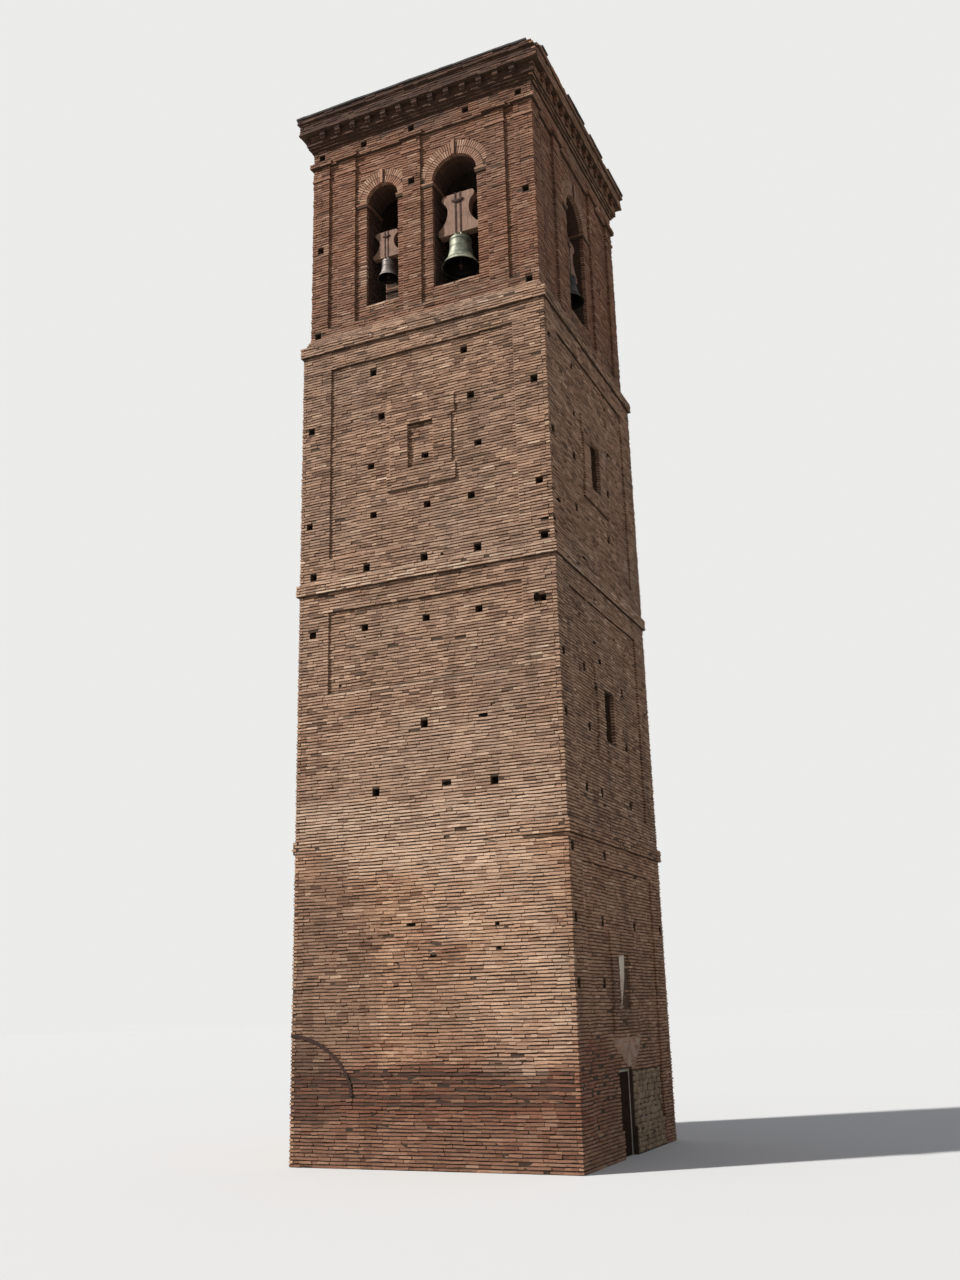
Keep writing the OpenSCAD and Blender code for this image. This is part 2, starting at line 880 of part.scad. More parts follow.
module roof_tiles() {
    top = roof_half + tile_t / tan(pitch);
    lim = roof_half + (tile_t + cover_h) * sin(pitch);
    color(tile)
        translate([0, 0, roof_z])
            difference() {
                union() {
                    translate([0, 0, -roof_z])
                        cover_slabs();
                    for (side = [0:3])
                        on_side(side)
                            tile_slope();
                    intersection() {
                        for (side = [0:3])
                            rotate([0, 0, 90 * side + 45])
                                translate([0, 0, top * tan(pitch)])
                                    rotate([0, 90 + atan(tan(pitch) / sqrt(2)), 0])
                                        cylinder(r = hip_r, h = 2 * top);
                        span_box([-lim, -lim, 0], [lim, lim, top]);
                    }
                    translate([0, 0, top * tan(pitch)])
                        sphere(r = 1.6 * hip_r);
                }
                translate([0, 0, -eps])
                    pyramid(roof_half + eps / tan(pitch));
            }
}

// Moves children from the doorway's own frame to the right face.
module at_door() {
    on_side(1)
        translate([door_y, -frame_front, 0])
            children();
}

module door_frame() {
    x = door_w / 2;
    color(timber)
        at_door()
            difference() {
                span_box([-x, 0, 0], [x, frame_d, door_h]);
                span_box([-x + frame_w, -eps, -eps],
                    [x - frame_w, frame_d + eps, door_h - frame_w]);
            }
}

hinge_x = -door_w / 2 + frame_w + pin_off;
hinge_y = leaf_t + eye_r;
strap_levels = [strap_in, leaf_h - strap_in];

module door_pintles() {
    color(iron)
        at_door()
            for (z = strap_levels) {
                translate([hinge_x, hinge_y, z - pin_past])
                    cylinder(r = pin_r, h = strap_h + 1.5 * pin_past);
                span_box([-door_w / 2 + frame_w, hinge_y - pin_r, z - pin_past],
                    [hinge_x, hinge_y + pin_r, z - 0.3 * pin_past]);
            }
}

module door_leaf() {
    color(dark_wood)
        at_door()
            span_box([-leaf_w / 2, 0, leaf_gap], [leaf_w / 2, leaf_t, leaf_gap + leaf_h]);
}

module door_straps() {
    color(iron)
        at_door()
            for (z = strap_levels)
                difference() {
                    union() {
                        translate([hinge_x, hinge_y, z])
                            cylinder(r = eye_r, h = strap_h);
                        span_box([hinge_x, leaf_t, z], [leaf_w / 2 - strap_short, leaf_t + strap_t,
                            z + strap_h]);
                    }
                    translate([hinge_x, hinge_y, z - eps])
                        cylinder(r = pin_r + run_gap, h = strap_h + 2 * eps);
                }
}

// Half width of a bell's outside at height fraction t above the rim.
function bell_r(rim, t) = rim * (0.56 + 0.44 * pow(1 - t, 3.2));

// Wall thickness of a bell at height fraction t above the rim.
function bell_wall(rim, t) = rim * (0.065 + 0.07 * exp(-pow((t - 0.08) / 0.07, 2)));

// Height of the crown over a bell.
function crown_h(set) = 0.2 * set[1];

// Bell casting hung from its crown at z 0, with a rounded shoulder.
module bell_casting(set) {
    rim = set[0] / 2;
    h = set[1];
    crown = crown_h(set);
    shoulder = 0.16 * rim;
    steps = 14;
    top_r = bell_r(rim, 1);
    body_h = h - shoulder;
    outer = [for (i = [0:steps])
        [bell_r(rim, i / steps), body_h * i / steps]];
    shoulder_arc = [for (a = [15:15:90])
        [top_r - shoulder + shoulder * cos(a), body_h + shoulder * sin(a)]];
    inner_top = h - bell_wall(rim, 1);
    inner = [for (i = [steps:-1:0])
        [bell_r(rim, i / steps) - bell_wall(rim, i / steps),
            (body_h - bell_wall(rim, 1)) * i / steps]];
    translate([0, 0, -crown - h]) {
        rotate_extrude()
            polygon(concat(outer, shoulder_arc, [[0, h], [0, inner_top],
                [top_r - shoulder - bell_wall(rim, 1), inner_top]], inner));
        translate([0, 0, h - eps])
            cylinder(r = 0.3 * top_r, h = 0.4 * crown + eps);
        for (k = [0:1])
            rotate([90, 0, 90 * k])
                translate([0, h, 0])
                    crown_loop(crown, 0.2 * rim);
    }
}

// Loop of a bell crown, standing on the casting and meeting the yoke.
module crown_loop(crown, r) {
    bar = 0.2 * crown;
    translate([0, 0, -bar])
        linear_extrude(2 * bar)
            difference() {
                translate([-r, -eps])
                    square([2 * r, crown + eps]);
                translate([-r + 2 * bar, -2 * eps])
                    square([2 * r - 4 * bar, crown - 1.6 * bar]);
            }
}

// Height of the axle above the foot of its yoke.
function axle_up(set) = 0.136 * set[3];

// Radius of the axle.
function axle_r(set) = 0.044 * set[2] / 2;

// Thickness of a yoke from front to back.
function yoke_t(set) = 0.19 * set[3];

// Radius of an arc that leaves an upright line and runs dx sideways over a rise of dz.
function flank_r(dx, dz) = (dx * dx + dz * dz) / (2 * dx);

// Outline of a yoke: a wide foot, hollow flanks and two rounded horns at the top.
module yoke_outline(w, h) {
    top = 0.41 * w;
    horn = 0.09 * w;
    toe = 0.04 * w;
    waist = 0.262 * w;
    level = 0.59 * h;
    low_r = flank_r(w / 2 - waist, level - 0.15 * h);
    high_r = flank_r(0.4 * w - waist, 0.26 * h);
    difference() {
        union() {
            for (s = [-1, 1]) {
                translate([s * (top - horn), h - horn])
                    circle(r = horn);
                translate([s * (w / 2 - toe), toe])
                    circle(r = toe);
            }
            translate([-top, level - eps])
                square([2 * top, h - horn - level + eps]);
            translate([horn - top, level])
                square([2 * (top - horn), h - level]);
            translate([-w / 2, toe])
                square([w, level - toe]);
            translate([toe - w / 2, 0])
                square([w - 2 * toe, level]);
        }
        for (s = [-1, 1]) {
            intersection() {
                translate([s * (waist + low_r), level])
                    circle(r = low_r);
                translate([s * w / 2 - w / 2, 0])
                    square([w, level + eps]);
            }
            intersection() {
                translate([s * (waist + high_r), level])
                    circle(r = high_r);
                translate([s * w / 2 - w / 2, level])
                    square([w, h]);
            }
        }
    }
}

// Wooden yoke, its axle at the origin.
module yoke(set) {
    w = set[2];
    h = set[3];
    t = yoke_t(set);
    difference() {
        translate([0, t / 2, -axle_up(set)])
            rotate([90, 0, 0])
                linear_extrude(t)
                    yoke_outline(w, h);
        rotate([0, 90, 0])
            cylinder(r = axle_r(set), h = w + 2 * eps, center = true);
    }
}

// Two straps over the yoke, their cross bars and the axle.
module ironwork(set) {
    w = set[2];
    h = set[3];
    t = yoke_t(set);
    foot = -axle_up(set);
    plate = 0.011 * h;
    wide = 0.036 * h;
    gap = 0.058 * h;
    for (s = [-1, 1])
        translate([s * gap, 0, 0])
            difference() {
                span_box([-wide / 2, -t / 2 - plate, foot], [wide / 2, t / 2 + plate,
                    foot + h + plate]);
                span_box([-wide, -t / 2, foot - eps], [wide, t / 2, foot + h]);
            }
    for (s = [-1, 1])
        translate([-2.4 * gap, s * (t / 2 + plate) - (s < 0 ? plate : 0), foot + 0.8 * h])
            cube([4.8 * gap, plate, wide]);
    rotate([0, 90, 0])
        cylinder(r = axle_r(set), h = w + 2 * (yoke_gap - axle_gap), center = true);
}

// Clapper that hangs from the inside top of the bell.
module clapper(set) {
    rim = set[0] / 2;
    h = set[1];
    top = -crown_h(set) - bell_wall(rim, 1);
    foot = -crown_h(set) - h;
    translate([0, 0, foot + 0.1 * rim])
        sphere(r = 0.11 * rim);
    translate([0, 0, foot - 0.12 * rim])
        cylinder(r = 0.04 * rim, h = top - foot + 0.12 * rim);
}

// Pair of bearings on the jambs of one arch.
module bearings(set) {
    r = axle_r(set);
    jamb = set[2] / 2 + yoke_gap;
    for (s = [-1, 1])
        translate([s * (jamb - bearing_t / 2), 0, 0])
            rotate([90, 0, 90])
                linear_extrude(bearing_t, center = true)
                    difference() {
                        union() {
                            circle(r = 2.6 * r);
                            translate([-3.4 * r, -3.4 * r])
                                square([6.8 * r, 3.4 * r]);
                        }
                        circle(r = r + run_gap);
                    }
}

// Moves children to the axle of a bell in the front wall.
module at_front(x, set) {
    translate([x, -half_b + bell_in, belfry_z + set[4]])
        children();
}

// Moves children to the axle of the bell in the right wall.
module at_right(set) {
    on_side(1)
        at_front(0, set)
            children();
}

module bell_bearings() {
    color(iron) {
        at_front(great_arch_x, great_set)
            bearings(great_set);
        at_front(small_arch_x, small_set)
            bearings(small_set);
        at_right(side_set)
            bearings(side_set);
    }
}

module great_bell() {
    color(bronze)
        at_front(great_arch_x, great_set)
            translate([0, 0, -axle_up(great_set)])
                bell_casting(great_set);
}

module great_bell_yoke() {
    color(yoke_wood)
        at_front(great_arch_x, great_set)
            yoke(great_set);
}

module great_bell_ironwork() {
    color(iron)
        at_front(great_arch_x, great_set)
            ironwork(great_set);
}

module great_bell_clapper() {
    color(iron)
        at_front(great_arch_x, great_set)
            translate([0, 0, -axle_up(great_set)])
                clapper(great_set);
}

module small_bell() {
    color(bronze)
        at_front(small_arch_x, small_set)
            translate([0, 0, -axle_up(small_set)])
                bell_casting(small_set);
}

module small_bell_yoke() {
    color(yoke_wood)
        at_front(small_arch_x, small_set)
            yoke(small_set);
}

module small_bell_ironwork() {
    color(iron)
        at_front(small_arch_x, small_set)
            ironwork(small_set);
}

module small_bell_clapper() {
    color(iron)
        at_front(small_arch_x, small_set)
            translate([0, 0, -axle_up(small_set)])
                clapper(small_set);
}

module side_bell() {
    color(bronze)
        at_right(side_set)
            translate([0, 0, -axle_up(side_set)])
                bell_casting(side_set);
}

module side_bell_yoke() {
    color(yoke_wood)
        at_right(side_set)
            yoke(side_set);
}

module side_bell_ironwork() {
    color(iron)
        at_right(side_set)
            ironwork(side_set);
}

module side_bell_clapper() {
    color(iron)
        at_right(side_set)
            translate([0, 0, -axle_up(side_set)])
                clapper(side_set);
}

lower_front_wall();
lower_left_wall();
lower_back_wall();
lower_right_wall_near();
lower_right_wall_far();
lower_right_wall_over_door();
lower_window_infill();
lower_string_course();
middle_front_wall_foot();
middle_front_wall_field();
middle_left_wall();
middle_back_wall();
middle_right_wall();
middle_string_course();
upper_front_wall();
upper_left_wall();
upper_back_wall();
upper_right_wall();
belfry_ledge();
belfry_floor();
belfry_front_wall();
belfry_left_wall();
belfry_back_wall();
belfry_right_wall();
entablature();
cornice();
roof_deck();
roof_tiles();
door_frame();
door_pintles();
door_leaf();
door_straps();
bell_bearings();
great_bell();
great_bell_yoke();
great_bell_ironwork();
great_bell_clapper();
small_bell();
small_bell_yoke();
small_bell_ironwork();
small_bell_clapper();
side_bell();
side_bell_yoke();
side_bell_ironwork();
side_bell_clapper();
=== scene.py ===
"""Looks of a square brick bell tower with three bells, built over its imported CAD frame.

Every length is in metres in the CAD model's own frame: +Z up, the front face towards -Y, the
ground at z 0. The CAD walls stay as the lime mortar core; bricks, arch rings, tiles, boards,
bells and yokes are laid over it, each piece riding on the body that carries it.
"""

import json
import logging
import math
import random
from collections.abc import Callable, Iterator, Sequence
from contextlib import contextmanager
from dataclasses import dataclass, field
from enum import Enum
from typing import Any

import bpy
from mathutils import Matrix, Vector, noise

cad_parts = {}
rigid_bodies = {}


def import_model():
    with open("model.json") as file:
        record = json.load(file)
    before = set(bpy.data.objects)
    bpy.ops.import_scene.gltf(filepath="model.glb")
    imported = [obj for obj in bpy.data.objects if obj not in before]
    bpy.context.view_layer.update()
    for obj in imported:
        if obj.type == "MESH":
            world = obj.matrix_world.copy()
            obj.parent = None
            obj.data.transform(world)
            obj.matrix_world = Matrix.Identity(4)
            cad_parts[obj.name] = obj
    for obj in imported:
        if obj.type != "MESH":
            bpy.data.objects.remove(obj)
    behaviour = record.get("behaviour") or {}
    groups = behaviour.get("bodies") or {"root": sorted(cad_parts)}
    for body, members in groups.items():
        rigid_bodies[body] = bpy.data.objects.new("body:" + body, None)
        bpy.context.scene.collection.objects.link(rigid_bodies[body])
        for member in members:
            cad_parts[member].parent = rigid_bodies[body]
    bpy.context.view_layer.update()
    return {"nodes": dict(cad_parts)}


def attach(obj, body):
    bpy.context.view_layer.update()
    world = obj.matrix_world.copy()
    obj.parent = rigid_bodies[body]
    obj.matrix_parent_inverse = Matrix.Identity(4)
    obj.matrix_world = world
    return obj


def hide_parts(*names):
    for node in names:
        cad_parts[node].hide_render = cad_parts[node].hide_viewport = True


LOG = logging.getLogger("bell_tower")

COURSE = 0.072  # one brick and its bed joint
BRICK_H = 0.047
STRETCHER = 0.285
HEADER = 0.135
JOINT = 0.003
BED = 0.10  # how deep a facing brick sits, front to back
PROUD = 0.016  # how far it stands out of the mortar core
SHORTEST = 0.03  # a stretch shorter than this gets no brick
CLOSER = 0.075  # a rest shorter than this is added to the brick before it
STRETCHERS = 0.7  # share of stretchers among the bricks
SLACK = 0.006  # gap beside a plane that stands further out
LAP = 0.007  # how far bricks stand past an arris

HALF = 3.3  # half width of the shaft
FIELD = HALF - 0.05  # face of a recessed field
BLIND = HALF - 0.09  # back of a blind window
WALL_IN = HALF - 1.2  # inner face of the shaft walls
HALF_B = HALF - 0.125  # half width of the belfry
BAY = HALF_B - 0.07  # face of the belfry bays
BELFRY_IN = HALF_B - 0.85  # inner face of the belfry walls
STRING_OUT = HALF + 0.065  # face of a string course
EAVE = HALF_B + 0.34  # face of the cornice's top band
ROOF_EDGE = EAVE - 0.12
PANEL = 2.5  # half width of a recessed field
WINDOW = 0.35  # half width of a window
HOLE = 0.1  # half width of a putlog hole

# levels, from the ground up
LOWER_TOP = 6.57
MIDDLE_Z = LOWER_TOP + 4 * COURSE
MIDDLE_TOP = MIDDLE_Z + 5.9
UPPER_Z = MIDDLE_TOP + 4 * COURSE
UPPER_TOP = UPPER_Z + 6.22
BELFRY_Z = UPPER_TOP + 8 * COURSE
SILL = BELFRY_Z + 0.65
SPRING = SILL + 3.1
IMPOST_Z = SPRING - 0.13
CAPITAL_Z = BELFRY_Z + 4.83
ENTABLATURE_Z = BELFRY_Z + 5.27
CORNICE_Z = ENTABLATURE_Z + 0.55
ROOF_Z = CORNICE_Z + 13 * COURSE
ABOVE = 99  # higher than every course
PITCH = math.radians(22)


class Side(Enum):
    """One of the four faces, by its quarter turns from the front."""

    FRONT = 0
    RIGHT = 1
    BACK = 2
    LEFT = 3

    @property
    def turn(self) -> float:
        """Angle of the face about Z, in radians."""
        return math.radians(90 * self.value)

    @property
    def runs_to_corner(self) -> bool:
        """True for the two faces whose even courses cover the corner."""
        return self.value % 2 == 0

    @property
    def face(self) -> "Face":
        """Plane through the axis that looks out of this face."""
        return Face(0, 0, self.turn)


class Weather(Enum):
    """What a mark on the masonry does to the bricks in it."""

    # darkens bricks: dirt on the shaft, painted shade on reveals and cornice
    DARK = "dark"
    RED = "red"
    PALE = "pale"
    WORN = "worn"
    GONE = "gone"


# Workbench


def linear(code: str) -> tuple[float, float, float, float]:
    """Turns an sRGB hex colour into the linear one that a shader reads.

    Args:
        code: Colour such as "#a98a6c".

    Returns:
        Red, green, blue and alpha, linear.
    """
    parts = [int(code[i : i + 2], 16) / 255 for i in (1, 3, 5)]
    low = [c / 12.92 if c <= 0.04045 else ((c + 0.055) / 1.055) ** 2.4 for c in parts]
    return (low[0], low[1], low[2], 1.0)


def socket(sockets: Any, key: int | str) -> Any:
    """Finds a socket of a node.

    Args:
        sockets: The node's inputs or outputs.
        key: Its number, or its name among those in use.

    Returns:
        The socket.
    """
    if isinstance(key, int):
        return sockets[key]
    return next(s for s in sockets if s.name == key and s.enabled)


def put(tree: Any, kind: str, inputs: dict | None = None, **settings: Any) -> Any:
    """Adds a node with its settings and links.

    Args:
        tree: Node tree that gets the node.
        kind: Blender's name of the node type.
        inputs: For each input, a value, a hex colour, a node or a socket to link.
        settings: Properties of the node; stops gives a ramp's places and colours.

    Returns:
        The new node.
    """
    made = tree.nodes.new(kind)
    stops = settings.pop("stops", None)
    for name, value in settings.items():
        setattr(made, name, value)
    if stops:
        ramp = made.color_ramp
        for _ in range(len(stops) - 2):
            ramp.elements.new(0.5)
        for element, (place, colour) in zip(ramp.elements, stops):
            element.position = place
            element.color = linear(colour)
    for key, value in (inputs or {}).items():
        end = socket(made.inputs, key)
        if isinstance(value, bpy.types.Node):
            value = next(s for s in value.outputs if s.enabled)
        if isinstance(value, bpy.types.NodeSocket):
            tree.links.new(value, end)
        else:
            hexed = isinstance(value, str) and value.startswith("#")
            end.default_value = linear(value) if hexed else value
    return made


def clear_selection() -> None:
    """Leaves nothing selected, so that the next operator acts on its own piece only."""
    for obj in bpy.context.view_layer.objects.selected[:]:
        obj.select_set(False)
    bpy.context.view_layer.objects.active = None


def take(*pieces: Any) -> None:
    """Selects pieces and nothing else, and makes the first one active.

    Args:
        pieces: The pieces.
    """
    clear_selection()
    for obj in pieces:
        obj.select_set(True)
    bpy.context.view_layer.objects.active = pieces[0]


def start(add: Callable[..., Any], name: str, **settings: Any) -> Any:
    """Adds a primitive to work on.

    Args:
        add: The operator that adds it.
        name: Name of the new piece.
        settings: The operator's own settings.

    Returns:
        The new object.
    """
    clear_selection()
    add(**settings)
    obj = bpy.context.active_object
    obj.name = obj.data.name = name
    return obj


@contextmanager
def editing(obj: Any) -> Iterator[Any]:
    """Edit mode on one piece with nothing picked, and object mode again afterwards.

    Args:
        obj: The piece.

    Returns:
        The piece, while it is in edit mode.
    """
    take(obj)
    bpy.ops.object.mode_set(mode="EDIT")
    bpy.ops.mesh.select_mode(type="VERT")
    bpy.ops.mesh.select_all(action="DESELECT")
    try:
        yield obj
    finally:
        bpy.ops.object.mode_set(mode="OBJECT")


def pick(obj: Any, mode: str, test: Callable[[Any], bool]) -> None:
    """Selects vertices or faces of the piece in edit mode.

    Args:
        obj: The piece.
        mode: VERT or FACE.
        test: Says which ones, from the mesh element.
    """
    bpy.ops.mesh.select_mode(type=mode)
    bpy.ops.object.mode_set(mode="OBJECT")
    for group in (obj.data.vertices, obj.data.edges, obj.data.polygons):
        group.foreach_set("select", [False] * len(group))
    for element in obj.data.vertices if mode == "VERT" else obj.data.polygons:
        element.select = test(element)
    bpy.ops.object.mode_set(mode="EDIT")


def finish_with(obj: Any, kind: str, **settings: Any) -> Any:
    """Adds a modifier and applies it.

    Args:
        obj: The piece.
        kind: Blender's name of the modifier type.
        settings: The modifier's settings.

    Returns:
        The piece.
    """
    take(obj)
    made = obj.modifiers.new(kind.lower(), kind)
    for name, value in settings.items():
        setattr(made, name, value)
    bpy.ops.object.modifier_apply(modifier=made.name)
    return obj


def settle(obj: Any) -> Any:
    """Puts the piece's place into its mesh, so that its object is at the origin and unturned.

    Args:
        obj: The piece.

    Returns:
        The same piece.
    """
    take(obj)
    bpy.ops.object.transform_apply(location=True, rotation=True, scale=True)
    return obj


def tidy(obj: Any) -> Any:
    """Merges doubles and turns all faces outwards.

    Args:
        obj: The piece.

    Returns:
        The same piece.
    """
    with editing(obj):
        bpy.ops.mesh.select_all(action="SELECT")
        bpy.ops.mesh.remove_doubles(threshold=1e-5)
        bpy.ops.mesh.normals_make_consistent(inside=False)
    return obj


def join(name: str, pieces: Sequence[Any]) -> Any:
    """Joins pieces into one mesh.

    Args:
        name: Name of the joined piece.
        pieces: The pieces, the first of which stays.

    Returns:
        The joined piece.
    """
    take(*pieces)
    if len(pieces) > 1:
        bpy.ops.object.join()
    pieces[0].name = pieces[0].data.name = name
    return pieces[0]


def board(name: str, low: Sequence[float], high: Sequence[float], edge: float) -> Any:
    """Box between two corners with its edges eased.

    Args:
        name: Name of the piece.
        low: Lowest corner.
        high: Highest corner.
        edge: Width of the eased edges.

    Returns:
        The box.
    """
    a, b = Vector(low), Vector(high)
    obj = start(bpy.ops.mesh.primitive_cube_add, name, size=1, location=(a + b) / 2)
    obj.scale = b - a
    settle(obj)
    return finish_with(obj, "BEVEL", width=edge, segments=2)


def plate(name: str, outline: Sequence[tuple[float, float]], y0: float, y1: float) -> Any:
    """Cuts an outline in x and z and gives it thickness along y.

    Args:
        name: Name of the piece.
        outline: Corners in order.
        y0: Front of the plate.
        y1: Back of the plate.

    Returns:
        The closed plate.
    """
    obj = start(
        bpy.ops.mesh.primitive_circle_add, name, vertices=len(outline), radius=1, fill_type="NGON"
    )
    for vertex, (x, z) in zip(obj.data.vertices, outline):
        vertex.co = (x, y0, z)
    with editing(obj):
        bpy.ops.mesh.select_all(action="SELECT")
        bpy.ops.mesh.extrude_region_move(TRANSFORM_OT_translate={"value": (0, y1 - y0, 0)})
    return tidy(obj)


def turned(name: str, profile: Sequence[tuple[float, float]], steps: int) -> Any:
    """Spins a profile about Z.

    Args:
        name: Name of the piece.
        profile: Radius and height of each point, in order.
        steps: Number of steps round.

    Returns:
        The closed turned piece.
    """
    obj = start(bpy.ops.mesh.primitive_plane_add, name, size=1)
    with editing(obj):
        bpy.ops.mesh.select_all(action="SELECT")
        bpy.ops.mesh.merge(type="CENTER")
        bpy.ops.transform.translate(value=(profile[0][0], 0, profile[0][1]))
        for (r0, z0), (r1, z1) in zip(profile, profile[1:]):
            bpy.ops.mesh.extrude_vertices_move(
                TRANSFORM_OT_translate={"value": (r1 - r0, 0, z1 - z0)}
            )
        bpy.ops.mesh.select_all(action="SELECT")
        bpy.ops.mesh.spin(
            steps=steps, angle=math.tau, center=(0, 0, 0), axis=(0, 0, 1), use_auto_merge=False
        )
    return tidy(obj)


def hoop(name: str, radius: float, thick: float, steps: int) -> Any:
    """Round bar bent into an upright ring that faces the front.

    Args:
        name: Name of the piece.
        radius: Radius of the ring.
        thick: Radius of the bar.
        steps: Number of steps round.

    Returns:
        The ring, about the origin.
    """
    obj = start(
        bpy.ops.mesh.primitive_torus_add, name, major_radius=radius, minor_radius=thick,
        major_segments=steps, minor_segments=8, rotation=(math.pi / 2, 0, 0),
    )
    return settle(obj)


# Finishes


@dataclass(frozen=True)
class Finish:
    """A material by its real name and the slot that it belongs to; each kind makes its nodes."""

    name: str
    slot: str

    def blank(self, roughness: float, metallic: float = 0.0, ior: float = 1.5) -> tuple[Any, ...]:
        """Starts the material.

        Args:
            roughness: Its roughness.
            metallic: Its share of metal.
            ior: Its index of refraction, low where it hardly shines.

        Returns:
            The material, its node tree, its shader and the Object coordinates.
        """
        material = bpy.data.materials.new(self.name)
        material.use_nodes = True
        tree = material.node_tree
        shader = tree.nodes["Principled BSDF"]
        shader.inputs["Roughness"].default_value = roughness
        shader.inputs["Metallic"].default_value = metallic
        shader.inputs["IOR"].default_value = ior
        place = put(tree, "ShaderNodeTexCoord").outputs["Object"]
        return material, tree, shader, place

    def clouds(
        self, tree: Any, vector: Any, scale: float, detail: float, low: float, high: float,
        most: float = 1.0, roughness: float = 0.5,
    ) -> Any:
        """Factor that grows from 0 to most where a noise goes from low to high.

        Args:
            tree: The node tree.
            vector: Coordinates of the noise.
            scale: Its scale, the inverse of the size in metres.
            detail: Its octaves.
            low: Noise value that gives 0.
            high: Noise value that gives the most.
            most: The greatest factor.
            roughness: How much its finer octaves count.

        Returns:
            The node that gives the factor.
        """
        noise_of = {"Vector": vector, "Scale": scale, "Detail": detail, "Roughness": roughness}
        cloud = put(tree, "ShaderNodeTexNoise", noise_of)
        return put(tree, "ShaderNodeMapRange", {"Value": cloud, 1: low, 2: high, 3: 0.0, 4: most})

    def coats(self, tree: Any, body: Any, *coats: tuple[Any, Any]) -> Any:
        """Lays coats of colour over one another.

        Args:
            tree: The node tree.
            body: Colour below them all.
            coats: Factor and colour of each, the lowest first.

        Returns:
            The node that gives the colour.
        """
        for factor, colour in coats:
            inputs = {"Factor": factor, "A": body, "B": colour}
            body = put(tree, "ShaderNodeMix", inputs, data_type="RGBA")
        return body

    def surface(
        self, tree: Any, shader: Any, body: Any, height: Any, strength: float, deep: float
    ) -> None:
        """Gives the shader its colour and its relief.

        Args:
            tree: The node tree.
            shader: The shader.
            body: Node that gives the colour.
            height: Node that gives the relief.
            strength: Strength of the relief.
            deep: Its depth in metres.
        """
        tree.links.new(body.outputs[2], shader.inputs["Base Color"])
        relief = {"Height": height, "Strength": strength, "Distance": deep}
        bump = put(tree, "ShaderNodeBump", relief)
        tree.links.new(bump.outputs[0], shader.inputs["Normal"])

    def material(self) -> Any:
        """Makes the material."""
        raise NotImplementedError

    def made(self) -> Any:
        """The material, made when it is first asked for."""
        return bpy.data.materials.get(self.name) or self.material()


@dataclass(frozen=True)
class FiredBrick(Finish):
    """Hand-struck brick fired low in a wood kiln: matt, sandy, each brick its own tone."""

    tones: tuple[str, ...] = ("#5c4436", "#866652", "#b08c74", "#c9a58b", "#e6cab1")
    grey: str = "#947e70"
    grime_and_shade: str = "#442f28"
    red: str = "#7a4631"
    # dark colour of rain streaks and dirt, also laid as painted shade on reveals, arch soffits and
    # cornice
    lime: str = "#e0c2a9"
    grey_share: float = 0.4

    def material(self) -> Any:
        """Tone by brick, grey bloom in metre-wide clouds, rain streaks and kiln speckle.

        Returns:
            The material.
        """
        material, tree, shader, place = self.blank(0.92)
        tone = put(tree, "ShaderNodeAttribute", attribute_name="tone").outputs["Fac"]
        wear = put(tree, "ShaderNodeAttribute", attribute_name="wear").outputs["Vector"]
        dark, red, pale = put(tree, "ShaderNodeSeparateXYZ", {0: wear}).outputs
        stops = [(i / (len(self.tones) - 1), c) for i, c in enumerate(self.tones)]
        tall = put(tree, "ShaderNodeMapping", {"Vector": place, "Scale": (2.4, 2.4, 0.2)})
        body = self.coats(
            tree,
            put(tree, "ShaderNodeValToRGB", {0: tone}, stops=stops),
            # clouds of grey bloom, about 2 m across
            (self.clouds(tree, place, 0.5, 4.0, 0.46, 0.72, self.grey_share), self.grey),
            # rain streaks, about 0.4 m wide and 5 m long
            (self.clouds(tree, tall, 1.0, 3.0, 0.52, 0.75, 0.35), self.grime_and_shade),
        )
        # kiln speckle, drawn 20 mm wide so that it shows
        speckle = {"Factor": 0.35, "A": body, "B": self.clouds(tree, place, 50.0, 3.0, 0.3, 0.7)}
        body = put(tree, "ShaderNodeMix", speckle, data_type="RGBA", blend_type="SOFT_LIGHT")
        # darkening from the wear attribute: dirt, and painted shade on reveals, arch soffits, brackets
        # and cornice
        body = self.coats(tree, body, (red, self.red), (dark, self.grime_and_shade), (pale, self.lime))
        # pits of 5 to 30 mm, struck into the face by the mould and by frost
        pitted = {"Vector": place, "Scale": 30.0, "Detail": 7.0, "Roughness": 0.6}
        self.surface(tree, shader, body, put(tree, "ShaderNodeTexNoise", pitted), 0.9, 0.016)
        return material


